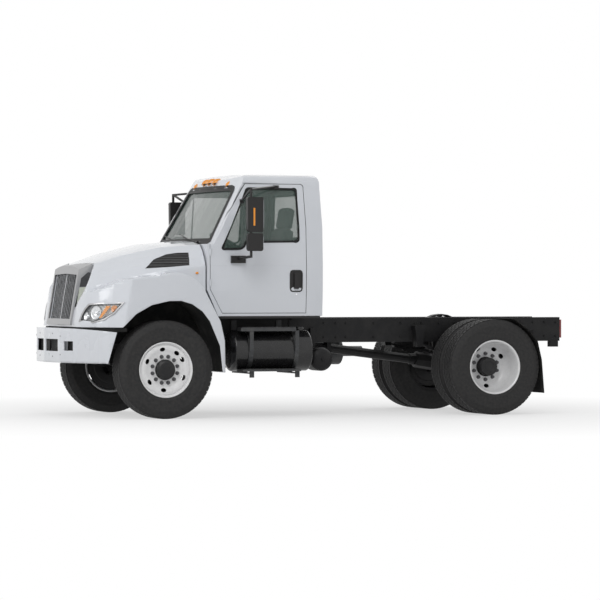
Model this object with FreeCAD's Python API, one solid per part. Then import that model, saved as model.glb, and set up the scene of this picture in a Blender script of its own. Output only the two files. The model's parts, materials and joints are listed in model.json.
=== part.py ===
import FreeCAD, Part
import math
import os

os.makedirs("parts", exist_ok=True)
V = FreeCAD.Vector

# Driving dimensions in mm. X is forward from the front axle, Y is left, Z is up from the ground.
# Everything is moved by SHIFT at the end, so that the origin lies under the middle of the whole length.
WHEELBASE = 3767
FRONT_END = 1022
REAR_OVERHANG = 1145
REAR_END = -(WHEELBASE + REAR_OVERHANG)
SHIFT = -(FRONT_END + REAR_END) / 2

# Wheels and tyres
TYRE_R = 525
TYRE_W = 279
WHEEL_SIDES = 20
RIM_SEAT_R = 287
RIM_LIP = 11
RIM_WALL = 12
BEAD_INSET = 25
AXLE_Z = TYRE_R
FRONT_TYRE_Y = 1020
REAR_OUTER_Y = 1092
TWIN_SPACING = 342
TWIN_MIDDLE = REAR_OUTER_Y - TWIN_SPACING / 2
HUB_R = 105
STUD_SEAT_R = 175
KINGPIN_Y = 880
KINGPIN_R = 22
SPINDLE_R = 36
REAR_SPINDLE_R = 46
AXLE_TUBE_R = 68
RUN_FIT = 0.05
STEER_ARM = 200
TIE_ROD_Z = 400
TIE_STUD_R = 9

# Frame
RAIL_Y = 432
RAIL_TOP = 1062
RAIL_DEPTH = 268
RAIL_LOW = RAIL_TOP - RAIL_DEPTH
RAIL_FLANGE = 89
RAIL_WEB = 8
RAIL_FRONT = 800
RAIL_REAR = REAR_END + 24
PLATE = 12

# Cab
CAB_FRONT = -504
CAB_REAR = -1825
CAB_FLOOR = 1091
CAB_WALL = 45
CAB_HALF = 1015
COWL_Z = 1868
DOOR_GAP = 6
DOOR_FRONT = -536
DOOR_REAR = -1639
DOOR_HINGES = (1450, 1780)
DOOR_PIN_R = 6
GLASS_INSET = 14
GLASS = 6
SCREEN_R = 6000
CHORD_TURN = 0.3

# Hood
HOOD_REAR = CAB_FRONT + 14
HOOD_WALL = 12
HOOD_BOTTOM = 978
HOOD_LEAN = 0.165
FENDER_Y = 1190
NOSE_Y = 455
CHROME = 8
HINGE_X = 945
HINGE_Z = 650
HINGE_Y = 475
HINGE_ARM = 20
HINGE_PIN_R = 14

# Bumper
BUMPER_TOP = 968
BUMPER_BOTTOM = 594
BUMPER_DROP = 42
BUMPER_WALL = 10
BUMPER_LIP = 62

# Bolt pattern on the rail tops for a body or coupling plate
PATTERN_X = 900
PATTERN_REAR = -(WHEELBASE + 233)
PATTERN_HOLE_R = 9

# Fuel tank
TANK_FRONT = -808
TANK_REAR = -1730
TANK_R = 222
TANK_SIDES = 24
EXHAUST_ROOM = 302
TANK_Y = 800
TANK_Z = 716
STRAP_FIT = 0.5
STRAPS = (-1000, -1520)


def p3(plane, a, b):
    if plane == "xz":
        return V(a, 0, b)
    if plane == "yz":
        return V(0, a, b)
    return V(a, b, 0)


def bend(a, middle, b):
    """The arc from a through the middle to b as a few straight chords, without its first point."""
    arc = Part.Arc(a, middle, b).toShape()
    chords = max(2, round(arc.Length / arc.Curve.Radius / CHORD_TURN))
    return arc.discretize(chords + 1)[1:]


def face(plane, start, *steps):
    """A closed face. A step of two numbers is a line's end, of four is a bend's middle and end."""
    points = [p3(plane, *start)]
    for step in steps:
        there = p3(plane, step[-2], step[-1])
        if len(step) == 2:
            points.append(there)
        else:
            points += bend(points[-1], p3(plane, step[0], step[1]), there)
    return Part.Face(Part.makePolygon(points + [points[0]]))


def across(shape, y0, y1, sweep=0.0):
    """A face drawn in XZ, drawn out from y0 to y1, moving forward by sweep for each unit of width."""
    solid = shape.extrude(V(sweep * (y1 - y0), y1 - y0, 0))
    solid.translate(V(0, y0, 0))
    return solid


def along(shape, x0, x1):
    """A face drawn in YZ, drawn out from x0 to x1."""
    solid = shape.extrude(V(x1 - x0, 0, 0))
    solid.translate(V(x0, 0, 0))
    return solid


def upward(shape, z0, z1, lean=0.0):
    """A face drawn in XY, drawn up from z0 to z1, leaning back by lean for each unit of height."""
    solid = shape.extrude(V(-lean * (z1 - z0), 0, z1 - z0))
    solid.translate(V(0, 0, z0))
    return solid


def box(x0, x1, y0, y1, z0, z1):
    return Part.makeBox(x1 - x0, y1 - y0, z1 - z0, V(x0, y0, z0))


def rod(start, end, r):
    a = V(*start)
    b = V(*end)
    return Part.makeCylinder(r, (b - a).Length, a, b - a)


def bar(start, end, r, sides=8):
    """A straight bar with flat sides, each r from its middle line."""
    a = V(*start)
    run = V(*end) - a
    k = r / math.cos(math.pi / sides)
    turns = [2 * math.pi * i / sides for i in range(sides + 1)]
    prism = Part.Face(Part.makePolygon([V(k * math.cos(t), k * math.sin(t), 0) for t in turns]))
    prism = prism.extrude(V(0, 0, run.Length))
    prism.Placement = FreeCAD.Placement(a, FreeCAD.Rotation(V(0, 0, 1), run))
    return prism


def closed(outlines):
    """A solid from the flat outlines of all its faces."""
    shell = Part.Shell([Part.Face(Part.makePolygon(o + [o[0]])) for o in outlines])
    shell.sewShape()
    solid = Part.Solid(shell)
    if solid.Volume < 0:
        solid.reverse()
    return solid


def turned(points, x, z, sides=WHEEL_SIDES):
    """A ring of flat sides about the line along Y through x, z. Its section is radius and y pairs."""
    k = 1 / math.cos(math.pi / sides)
    rings = []
    for i in range(sides):
        t = 2 * math.pi * (i + 0.5) / sides - math.pi / 2
        rings.append([V(x + r * k * math.cos(t), y, z + r * k * math.sin(t)) for r, y in points])
    outlines = []
    for i in range(sides):
        one = rings[i]
        two = rings[(i + 1) % sides]
        for j in range(len(points)):
            m = (j + 1) % len(points)
            outlines.append([one[j], two[j], two[m], one[m]])
    return closed(outlines)


def lofted(sections):
    """A solid of flat triangles through sections that have the same number of points."""
    outlines = [sections[0], sections[-1]]
    count = len(sections[0])
    for one, two in zip(sections, sections[1:]):
        for j in range(count):
            m = (j + 1) % count
            outlines.append([one[j], two[j], two[m]])
            outlines.append([one[j], two[m], one[m]])
    return closed(outlines)


def fuse(shapes):
    first = shapes[0]
    return first.fuse(shapes[1:]).removeSplitter() if len(shapes) > 1 else first


def cut(shape, tools):
    return shape.cut(Part.makeCompound(tools))


def mirrored(shape):
    return shape.mirror(V(0, 0, 0), V(0, 1, 0))


def both(shape):
    return [shape, mirrored(shape)]


def save(name, shapes):
    solids = []
    for shape in shapes:
        solids += shape.Solids
    whole = Part.makeCompound(solids) if len(solids) > 1 else solids[0]
    whole = whole.copy()
    whole.translate(V(SHIFT, 0, 0))
    whole.exportStep("parts/" + name + ".step")


# Wheels

def tyre(x, y):
    half = TYRE_W / 2
    bead = half - BEAD_INSET
    side = [(RIM_SEAT_R, bead), (RIM_SEAT_R + RIM_LIP, bead), (TYRE_R * 0.78, half),
            (TYRE_R * 0.947, half * 0.92), (TYRE_R, half * 0.77)]
    section = [(r, y - w) for r, w in side] + [(r, y + w) for r, w in reversed(side)]
    return turned(section, x, AXLE_Z)


def barrel(y, inward):
    """A rim's section line from its edge on one side to its edge on the other, for a rim seated about y."""
    bead = TYRE_W / 2 - BEAD_INSET
    lip = RIM_SEAT_R + RIM_LIP
    s = -1 if inward else 1
    return [(lip, y - s * (bead + RIM_WALL)), (lip, y - s * bead), (RIM_SEAT_R, y - s * bead),
            (RIM_SEAT_R, y + s * bead), (lip, y + s * bead), (lip, y + s * (bead + RIM_WALL))]


def hand_holes(x, radius, angles, y0, y1):
    """Oval openings through a wheel disc; each angle is seen from outside the left wheel."""
    out = []
    for angle in angles:
        a = math.radians(angle)
        points = []
        for i in range(7):
            t = math.radians(60 * i + 30)
            r = radius + 23 * math.cos(t)
            w = 33 * math.sin(t)
            points.append(V(x - r * math.cos(a) + w * math.sin(a), y0, AXLE_Z + r * math.sin(a) + w * math.cos(a)))
        out.append(Part.Face(Part.makePolygon(points)).extrude(V(0, y1 - y0, 0)))
    return out


def front_rim():
    y = FRONT_TYRE_Y
    inner = RIM_SEAT_R - RIM_WALL
    end = TYRE_W / 2 - BEAD_INSET + RIM_WALL
    section = barrel(y, True) + [(inner, y - end), (inner, y + 76), (236, y + 92), (STUD_SEAT_R, y + 70),
                                 (HUB_R, y + 70), (HUB_R, y - 60), (8, y - 60), (8, y + 148), (88, y + 148),
                                 (HUB_R, y + 132), (HUB_R, y + 84), (STUD_SEAT_R, y + 84), (236, y + 106),
                                 (inner, y + 90), (inner, y + end)]
    wheel = turned(section, 0, AXLE_Z)
    wheel = fuse([wheel, rod((0, y - 60, AXLE_Z), (0, y + 148, AXLE_Z), 12)])
    bore = rod((0, y - 61, AXLE_Z), (0, y + 138, AXLE_Z), SPINDLE_R + RUN_FIT)
    return cut(wheel, [bore] + hand_holes(0, 218, (98, 54, 30, -23, -95, -143, 156), y + 40, y + 120))


def rear_rims():
    mid = TWIN_MIDDLE
    out_y = REAR_OUTER_Y
    in_y = REAR_OUTER_Y - TWIN_SPACING
    x = -WHEELBASE
    inner = RIM_SEAT_R - RIM_WALL
    end = TYRE_W / 2 - BEAD_INSET + RIM_WALL
    section = barrel(out_y, True) + [(inner, out_y - end), (inner, out_y - 74), (215, mid + 14),
                                     (STUD_SEAT_R, mid), (215, mid - 14), (inner, in_y + 74), (inner, in_y + end)]
    section += barrel(in_y, True) + [(inner, in_y - end), (inner, in_y + 60), (212, mid - 30),
                                     (STUD_SEAT_R, mid - 14), (HUB_R, mid - 14), (HUB_R, mid - 150), (8, mid - 150),
                                     (8, mid + 128), (88, mid + 128), (98, mid + 116), (98, mid + 16),
                                     (STUD_SEAT_R, mid + 16), (212, mid + 32), (inner, out_y - 60),
                                     (inner, out_y + end)]
    wheel = turned(section, x, AXLE_Z)
    wheel = fuse([wheel, rod((x, mid - 150, AXLE_Z), (x, mid + 128, AXLE_Z), 12)])
    bore = rod((x, mid - 151, AXLE_Z), (x, mid + 112, AXLE_Z), REAR_SPINDLE_R + RUN_FIT)
    return cut(wheel, [bore] + hand_holes(x, 212, (117, 63, 32, -88, -138), mid - 90, mid + 90))


# Steering

def knuckle():
    y = KINGPIN_Y
    pin = rod((0, y, 420), (0, y, 630), KINGPIN_R)
    top = box(-40, 40, y - 45, y + 75, 596, 630)
    low = box(-40, 40, y - 45, y + 75, 420, 454)
    web = box(-40, 40, y + 45, y + 75, 420, 630)
    spindle = rod((0, y + 60, AXLE_Z), (0, FRONT_TYRE_Y + 132, AXLE_Z), SPINDLE_R)
    arm = box(-STEER_ARM, -30, y - 18, y + 18, 424, 450)
    stud = rod((-STEER_ARM, y, TIE_ROD_Z - 14), (-STEER_ARM, y, 450), TIE_STUD_R)
    eye = bar((-STEER_ARM, y, 424), (-STEER_ARM, y, 450), 24)
    return fuse([pin, top, low, web, spindle, arm, eye, stud])


def tie_rod():
    end = KINGPIN_Y
    parts = [bar((-STEER_ARM, 20 - end, TIE_ROD_Z), (-STEER_ARM, end - 20, TIE_ROD_Z), 14)]
    bores = []
    for y in (-end, end):
        parts.append(bar((-STEER_ARM, y, TIE_ROD_Z - 14), (-STEER_ARM, y, TIE_ROD_Z + 14), 24, 12))
        bores.append(rod((-STEER_ARM, y, TIE_ROD_Z - 20), (-STEER_ARM, y, TIE_ROD_Z + 20), TIE_STUD_R + RUN_FIT))
    return cut(fuse(parts), bores)


def front_axle():
    half = KINGPIN_Y - 60
    parts = [box(-45, 45, 60 - half, half - 60, z, z + 16) for z in (420, 494)]
    parts.append(box(-12, 12, 40 - half, half - 40, 430, 500))
    bores = []
    for side in (1, -1):
        y = side * KINGPIN_Y
        ends = sorted((y - side * 30, side * (half - 70)))
        parts.append(bar((0, y, 460), (0, y, 590), 36, 12))
        parts.append(box(-34, 34, ends[0], ends[1], 462, 520))
        bores.append(rod((0, y, 440), (0, y, 610), KINGPIN_R + RUN_FIT))
    return cut(fuse(parts), bores)


def rear_axle():
    """The banjo housing with its tubes, brake flanges, spring seats, spindles and the pinion's nose."""
    x = -WHEELBASE
    z = AXLE_Z
    end = TWIN_MIDDLE + 105
    bowl = turned([(20, -140), (140, -140), (205, -60), (205, 60), (140, 140), (20, 140)], x, z, 12)
    nose = bar((x + 130, 0, z + 10), (x + 470, 0, z + 64), 84, 8)
    yoke = bar((x + 450, 0, z + 70), (x + 500, 0, z + 70), 62, 12)
    parts = [bar((x, -600, z), (x, 600, z), AXLE_TUBE_R, 12), bowl, nose, yoke]
    parts.append(rod((x, -end, z), (x, end, z), REAR_SPINDLE_R))
    parts.append(box(x - 60, x + 60, -150, 150, z - 60, z + 60))
    for side in (1, -1):
        parts.append(bar((x, side * 586, z), (x, side * 600, z), 110, 12))
        seat = sorted((side * 466, side * 554))
        parts.append(box(x - 62, x + 62, seat[0], seat[1], z, z + AXLE_TUBE_R + 16))
    return fuse(parts)


def leaf(x, y, width, half, low, rise, thick):
    """One curved spring leaf, its ends higher than its middle by rise."""
    shape = []
    for u in (-1, -0.55, 0, 0.55, 1):
        shape.append((x + u * half, low + rise * u * u))
    top = [(a, b + thick) for a, b in reversed(shape)]
    return across(face("xz", *(shape + top)), y - width / 2, y + width / 2)


def spring(x, y, width, half, low, rise, leaves, thick, rail_side, hanger_top):
    """A leaf pack with its clamp, its four clamp bars and the hangers that carry its ends."""
    parts = []
    top = low + leaves * thick
    for i in range(leaves):
        k = 1 - 0.17 * (leaves - 1 - i)
        parts.append(leaf(x, y, width, half * k, low + i * thick, rise * k * k, thick + 2))
    inset = width / 2 + 4
    parts.append(box(x - 98, x + 98, y - inset - 12, y + inset + 12, top + 2, top + 22))
    plate_z = AXLE_Z - AXLE_TUBE_R - 25 if x < 0 else AXLE_Z - 125
    parts.append(box(x - 98, x + 98, y - inset - 12, y + inset + 12, plate_z, plate_z + 18))
    for dx in (-86, 86):
        for dy in (-inset, inset):
            parts.append(bar((x + dx, y + dy, plate_z), (x + dx, y + dy, top + 30), 8, 4))
    eye = low + rise + (leaves - 1) * thick
    for s in (-1, 1):
        cx = x + s * (half - 20)
        plate = face("xz", (cx - 62, hanger_top), (cx - 34, eye - 30), (cx + 34, eye - 30), (cx + 62, hanger_top))
        ends = sorted((rail_side, y + (width / 2 if rail_side < y else -width / 2)))
        parts.append(across(plate, ends[0], ends[1]))
    return fuse(parts)


def springs():
    front = spring(0, 392, 76, 620, 510, 130, 3, 14, 430, RAIL_LOW)
    rear = spring(-WHEELBASE, 510, 80, 640, AXLE_Z + AXLE_TUBE_R + 16, 110, 4, 16, RAIL_Y, RAIL_LOW + 180)
    return both(front) + both(rear)


# Frame

def rail():
    c = box(RAIL_REAR, RAIL_FRONT, RAIL_Y - RAIL_FLANGE, RAIL_Y, RAIL_LOW, RAIL_TOP)
    hollow = box(RAIL_REAR - 1, RAIL_FRONT + 1, RAIL_Y - RAIL_FLANGE - 1, RAIL_Y - RAIL_WEB,
                 RAIL_LOW + RAIL_WEB, RAIL_TOP - RAIL_WEB)
    holes = []
    for x in (PATTERN_REAR, PATTERN_REAR + PATTERN_X):
        holes.append(rod((x, RAIL_Y - 40, RAIL_TOP - 20), (x, RAIL_Y - 40, RAIL_TOP + 5), PATTERN_HOLE_R))
    return cut(c, [hollow] + holes)


def crossmember(x, depth):
    half = RAIL_Y - RAIL_WEB
    low = RAIL_LOW + 30
    return fuse([box(x - 6, x + 6, -half, half, low, low + depth), box(x - 6, x + 60, -half, half, low, low + 8),
                 box(x - 6, x + 60, -half, half, low + depth - 8, low + depth)])


def crossmembers():
    half = RAIL_Y - RAIL_WEB
    rear = -WHEELBASE
    out = [crossmember(x, depth) for x, depth in ((730, 150), (-2250, 200), (rear + 740, 200),
                                                  (rear - 620, 200))]
    cradle = [box(-1150, -1090, -half, half, 640, 670)]
    cradle += both(box(-1150, -1090, half - 30, half, 640, RAIL_LOW))
    out.append(fuse(cradle))
    mid = rear + 167
    arch = face("xz", (mid - 152, RAIL_TOP - 20), (mid, RAIL_TOP + 21, mid + 152, RAIL_TOP - 20),
                (mid + 152, RAIL_TOP - 4), (mid, RAIL_TOP + 37, mid - 152, RAIL_TOP - 4))
    out.append(fuse([crossmember(mid, 205), across(arch, -60, 60),
                     box(mid - 6, mid + 6, -60, 60, RAIL_LOW + 200, RAIL_TOP + 25)]))
    inner_low = RAIL_LOW + RAIL_WEB
    inner_top = RAIL_TOP - RAIL_WEB
    out.append(fuse([box(RAIL_REAR, RAIL_REAR + 10, -half, half, inner_low, inner_top),
                     box(RAIL_REAR, RAIL_REAR + 70, -half, half, inner_top - 10, inner_top)]))
    for side in (1, -1):
        y = sorted((side * (RAIL_Y - 70), side * (RAIL_Y + 6)))
        out.append(box(RAIL_REAR + 20, RAIL_REAR + 118, y[0], y[1], RAIL_LOW - 66, RAIL_LOW))
    for x in (-700, -1690):
        mount = [box(x - 50, x + 50, RAIL_Y, RAIL_Y + PLATE, RAIL_LOW + 90, RAIL_TOP),
                 box(x - 50, x + 50, RAIL_Y, RAIL_Y + 95, RAIL_TOP - 14, CAB_FLOOR)]
        out += both(fuse(mount))
    return out


def hood_mounts():
    """Side plates at the rail ends that carry the hood's pins and the bumper."""
    plate = face("xz", (RAIL_FRONT - 80, RAIL_TOP - 30), (RAIL_FRONT - 80, RAIL_LOW + 20), (HINGE_X - 26, HINGE_Z),
                 (HINGE_X, HINGE_Z - 26, HINGE_X + 26, HINGE_Z), (HINGE_X + 10, 860), (RAIL_FRONT + 20, 920),
                 (RAIL_FRONT - 10, RAIL_TOP - 30))
    arm = across(plate, RAIL_Y, RAIL_Y + PLATE)
    pin = rod((HINGE_X, RAIL_Y, HINGE_Z), (HINGE_X, HINGE_Y + HINGE_ARM / 2 + 5, HINGE_Z), HINGE_PIN_R)
    return both(fuse([arm, pin]))


# Bumper

def bumper_plan(inset):
    """The bumper's plan, smaller all round by inset."""
    i = inset
    return face("xy", (FRONT_END - i * 1.05, 0), (990 - i, 450), (939 - i, 745, 837 - i * 0.8, 935 - i * 0.6),
                (733 - i * 0.6, 1075 - i * 0.8, 511, 1192 - i), (240, 1192 - i), (240, i - 1192), (511, i - 1192),
                (733 - i * 0.6, i * 0.8 - 1075, 837 - i * 0.8, i * 0.6 - 935),
                (939 - i, -745, 990 - i, -450))


def front_bumper():
    """A wrap-around skin with lips, its top falling towards the ends, and the slots for air and towing."""
    t = BUMPER_WALL
    skin = upward(bumper_plan(0), BUMPER_BOTTOM, BUMPER_TOP)
    tools = [upward(bumper_plan(t), BUMPER_BOTTOM + t, BUMPER_TOP - t),
             upward(bumper_plan(BUMPER_LIP), BUMPER_BOTTOM - 5, BUMPER_TOP + 5),
             across(face("xz", (100, 500), (685, 500), (507, 1100), (100, 1100)), -1300, 1300),
             across(face("xz", (1100, BUMPER_TOP + 8), (400, BUMPER_TOP - BUMPER_DROP - 14), (400, 1100),
                         (1100, 1100)), -1300, 1300)]
    for y0, y1, z0, z1 in ((40, 405, 716, 846), (540, 700, 726, 826)):
        tools += both(box(830, 1040, y0, y1, z0, z1))
    tab = box(HINGE_X - 50, FRONT_END - 34, RAIL_Y + PLATE, RAIL_Y + 2 * PLATE, 730, 890)
    return fuse([cut(skin, tools)] + both(tab))


# Hood

def hood_plan(grow, rear=-1200):
    """The plan of the hood and fenders, larger all round by grow."""
    g = grow
    return face("xy", (856 + g, 0), (848 + g, 540), (787 + g * 0.8, 850 + g * 0.7, 471, FENDER_Y + g),
                (rear, FENDER_Y + g), (rear, -FENDER_Y - g), (471, -FENDER_Y - g),
                (787 + g * 0.8, -850 - g * 0.7, 848 + g, -540))


def front_solid(grow):
    low = HOOD_BOTTOM - 600
    solid = upward(hood_plan(grow), low, 2200, HOOD_LEAN)
    solid.translate(V(HOOD_LEAN * (HOOD_BOTTOM - low), 0, 0))
    return solid


def core_section(x, top, shoulder_y, shoulder_z, crease_y, crease_z, t):
    """The hood's section at one place: the top, the shoulders, the creases and the sides."""
    low = 400
    a = V(x, 0, top - t)
    b = V(x, shoulder_y - 0.6 * t, shoulder_z - 0.8 * t)
    c = V(x, crease_y - t, crease_z - 0.6 * t)
    points = [a]
    for k, drop in ((0.36, 0.09), (0.7, 0.4)):
        points.append(V(x, b.y * k, a.z - (a.z - b.z) * drop))
    points.append(b)
    for k in (0.33, 0.67):
        out = 4 * k * (1 - k)
        points.append(V(x, b.y + (c.y - b.y) * k + 18 * out, b.z + (c.z - b.z) * k + 14 * out))
    points += [c, V(x, c.y, low)]
    return points + [V(x, -p.y, p.z) for p in reversed(points) if p.y > 0]


def core(t, behind):
    """The middle of the hood, smaller all round by t and carried on behind its rear edge."""
    stations = [(930, 1572, 400, 1535, 650, 1335), (668, 1665, 470, 1630, 770, 1416), (325, 1778, 570, 1745, 880, 1507),
                (-60, 1871, 680, 1829, 960, 1584), (HOOD_REAR, 1913, 800, 1863, 1000, 1631)]
    if behind:
        stations.append((HOOD_REAR - behind, 1918, 815, 1869, 1006, 1639))
    return lofted([core_section(*s, t) for s in stations])


def fender(t, y0):
    """The bulge over the wheel, with the long tail behind it."""
    shape = face("xz", (1040, 400), (1040, 1206 - t), (786, 1331 - t), (440, 1488 - t, 74, 1527 - t),
                 (-302, 1499 - t, -464 + t * 0.6, 1290 - t * 0.6), (-616 + t, 986, -652 + t, 470), (-652 + t, 400))
    return across(shape, y0, FENDER_Y - t)


def flute(t):
    """What is taken off beside the nose, so that the grille's cheek stands free of the fender."""
    side = face("xz", (1200, 1130 - t), (835 - t, 1130 - t), (799 - t, 1181 - t), (643 - t, 1407 - t),
                (612 - t, 1503), (590 - t, 1630), (580 - t, 1900), (1200, 1900))
    return across(side, NOSE_Y - t, NOSE_Y + 380, 0.45)


def side_outline():
    """What the hood keeps seen from the side: the arch is open and the tail runs down behind the wheel."""
    return face("xz", (1200, HOOD_BOTTOM), (488, HOOD_BOTTOM), (265, 1171, -27, 1258), (-290, 1219, -479, 1041),
                (-590, 790, -625, 492), (-652, 492), (-652, 523), (-615, 1036, HOOD_REAR, 1303),
                (HOOD_REAR, 2200), (1200, 2200))


GRILLE = face("yz", (-420, 1062), (420, 1062), (430, 1500), (424, 1532, 396, 1538), (0, 1550, -396, 1538),
              (-424, 1532, -430, 1500))
LAMP = face("xz", (917, 1052), (880, 1139, 815, 1210), (688, 1222), (437, 1230), (533, 1136), (644, 1072),
            (766, 1041))
VENT = face("xz", (144, 1604), (46, 1693, -108, 1757), (-230, 1774), (-345, 1776), (-322, 1638), (-66, 1617))


def hood_shell():
    t = HOOD_WALL
    outer = fuse([core(0, 0)] + both(fender(0, 560))).common(front_solid(0))
    outer = cut(outer, both(flute(0)))
    inner = fuse([core(t, 60)] + both(fender(t, 500))).common(front_solid(-t))
    inner = cut(inner, both(flute(t)))
    return outer.cut(inner).common(across(side_outline(), -1400, 1400))


def hood_arm():
    """The bent arm from the hinge pin round behind the bumper and up to the hood's lower front edge."""
    x = HINGE_X
    z = HINGE_Z
    wall = 856 - HOOD_WALL
    shape = face("xz", (x - 8, z - 26), (x + 26, z, x - 8, z + 26), (x - 330, z + 88), (x - 330, z + 296),
                 (wall - 24, HOOD_BOTTOM + 12), (wall - 4, HOOD_BOTTOM + 12), (wall - 12, HOOD_BOTTOM + 58),
                 (x - 372, z + 344), (x - 372, z + 50))
    arm = across(shape, HINGE_Y - HINGE_ARM / 2, HINGE_Y + HINGE_ARM / 2)
    return arm.cut(rod((x, HINGE_Y - 20, z), (x, HINGE_Y + 20, z), HINGE_PIN_R + RUN_FIT))


def chrome_surround(body):
    """The bright frame round the grille, the cap over the nose and the cheek along each side of it."""
    skin = core(-CHROME, 0)
    wide = NOSE_Y + CHROME
    low = HOOD_BOTTOM + 22
    ring = front_solid(22).cut(front_solid(0)).common(box(400, 1200, -wide, wide, low, 1800))
    plan = face("xy", (1100, -wide), (605, -wide), (760, 0), (605, wide), (1100, wide))
    cap = skin.cut(core(0, 0)).common(upward(plan, 1500, 1800)).common(front_solid(0))
    side = face("xz", (1200, 1130), (840, 1130), (803, 1181), (647, 1407), (616, 1503), (594, 1640), (1200, 1800))
    cheeks = both(across(side, NOSE_Y, wide))
    cheeks = [c.common(front_solid(22)) for c in cheeks]
    whole = fuse([ring, cap] + cheeks).common(skin.fuse(box(400, 1200, -wide, wide, 400, 1500)))
    whole = whole.cut(along(GRILLE, 400, 1200))
    return whole.cut(body)


def grille_bars():
    slats = []
    for i in range(-9, 10):
        w = 20 if i == 0 else 7
        slats.append(box(500, 1100, i * 43 - w, i * 43 + w, 1000, 1600))
    wall = front_solid(12).cut(front_solid(-HOOD_WALL))
    return wall.common(along(GRILLE, 500, 1100)).common(Part.makeCompound(slats))


def hood_parts():
    shell = hood_shell()
    vents = [shell.common(cutter) for cutter in both(across(VENT, 400, 1300))]
    vents[0].translate(V(0, -CHROME, 0))
    vents[1].translate(V(0, CHROME, 0))
    lamp_hole = across(LAMP, 1000, 1400, 0.359).fuse(across(LAMP, 1000, 400, 0.359))
    band = front_solid(5).cut(front_solid(-HOOD_WALL))
    lamps = [band.common(hole) for hole in both(lamp_hole)]
    body = cut(shell, [along(GRILLE, 400, 1200)] + both(across(VENT, 400, 1300)) + both(lamp_hole))
    body = fuse([body] + both(hood_arm()))
    surround = chrome_surround(body)
    bars = grille_bars().cut(surround)
    return body, surround, bars, lamps, vents


# Cab

def cab_section(t):
    h = CAB_HALF - t
    return face("yz", (0, CAB_FLOOR + t), (h - 20, CAB_FLOOR + t), (h - 2, 1372, h, 1632),
                (h - 22, 2082, h - 112, 2472), (h - 150, 2577 - t * 0.7, h - 290, 2612 - t),
                (0, 2650 - t, 290 - h, 2612 - t), (150 - h, 2577 - t * 0.7, 112 - h, 2472),
                (22 - h, 2082, -h, 1632), (2 - h, 1372, 20 - h, CAB_FLOOR + t))


SCREEN_LOW = (-491, 1884)
SCREEN_HIGH = (-863, 2532)


def screen_solid(t):
    """A block leaning back, its curved front face being the windscreen's."""
    run = V(SCREEN_HIGH[0] - SCREEN_LOW[0], 0, SCREEN_HIGH[1] - SCREEN_LOW[1])
    run.normalize()
    out = V(run.z, 0, -run.x)
    base = V(SCREEN_LOW[0], 0, SCREEN_LOW[1]) - run * 1500
    points = []
    for i in range(-4, 5):
        a = math.radians(2.8 * i)
        points.append(base + out * (SCREEN_R * (math.cos(a) - 1) - t) + V(0, SCREEN_R * math.sin(a), 0))
    points += [points[-1] - out * 2500, points[0] - out * 2500, points[0]]
    return Part.Face(Part.makePolygon(points)).extrude(run * 4000)


def cab_body(t):
    """The cab's solid, smaller all round by t."""
    front = CAB_FRONT - t
    rear = CAB_REAR + t
    side = face("xz", (front, COWL_Z - t), (front, 1375), (-637 - t, CAB_FLOOR + t), (rear, CAB_FLOOR + t),
                (rear, 2542 - t), (rear + 30, 2622 - t, -1690, 2650 - t), (-1321, 2650 - t),
                (-1031, 2628 - t, -771, 2523 - t), (front, 2500 - t))
    solid = along(cab_section(t), CAB_REAR - 100, 200).common(across(side, -1200, 1200))
    top = solid.common(box(-3000, 1000, -1300, 1300, COWL_Z - 1 - t, 3000)).common(screen_solid(t))
    base = solid.common(box(-3000, front, -1300, 1300, 1000, COWL_Z - t))
    return fuse([top, base])


def door_face(g):
    """The door's outline seen from the side, smaller all round by g."""
    rear = DOOR_REAR + g
    return face("xz", (DOOR_FRONT - g, 1863), (DOOR_FRONT - g, 1382 + g * 0.3), (-680 - g * 0.4, 1121 + g),
                (rear, 1121 + g), (rear, 2475 - g), (rear + 10, 2512 - g, rear + 45, 2523 - g), (-966 - g, 2523 - g))


WINDOW = face("xz", (-672, 1836), (-678, 1808, -706, 1803), (-850, 1804), (-922, 1822, -955, 1880), (-1494, 1888),
              (-1552, 1896, -1562, 1934), (-1562, 2435), (-1556, 2472, -1514, 2478), (-1020, 2484),
              (-985, 2474, -962, 2436))
SCREEN_HOLE = face("yz", (-875, 1912), (-850, 1898, -800, 1896), (800, 1896), (850, 1898, 875, 1912),
                   (780, 2440), (760, 2472, 700, 2480), (-700, 2480), (-760, 2472, -780, 2440))
REAR_HOLE = face("yz", (-560, 1932), (560, 1932), (600, 1972), (570, 2392), (540, 2432), (-540, 2432), (-570, 2392),
                 (-600, 1972))


def hinge_pieces(y):
    """For each door hinge: the pin with its collars, the door's barrel, and the clearances round both."""
    x = DOOR_FRONT - DOOR_GAP / 2
    r = DOOR_PIN_R
    pins, barrels, bores, cab_room, door_room = [], [], [], [], []
    for z in DOOR_HINGES:
        pins.append(rod((x, y, z - 38), (x, y, z + 38), r))
        barrels.append(bar((x, y, z - 25), (x, y, z + 25), r + 5))
        bores.append(bar((x, y, z - 26), (x, y, z + 26), r + RUN_FIT, 12))
        cab_room.append(bar((x, y, z - 25.5), (x, y, z + 25.5), r + 7))
        for a, b in ((z - 38, z - 25.5), (z + 25.5, z + 38)):
            pins.append(bar((x, y, a), (x, y, b), r + 5))
            door_room.append(bar((x, y, a - 1), (x, y, b + 1), r + 7))
    return pins, barrels, bores, cab_room, door_room


def side_zone(shape, depth):
    """A cut through the cab's left side only, down to depth under its outer face."""
    h = CAB_HALF - depth
    inside = face("yz", (0, 900), (h - 20, 900), (h - 20, CAB_FLOOR), (h - 2, 1372, h, 1632),
                  (h - 22, 2082, h - 112, 2472), (h - 132, 2520), (h - 132, 2800), (0, 2800))
    return across(shape, 0, CAB_HALF + 200).cut(along(inside, CAB_REAR - 200, 0))


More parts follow.
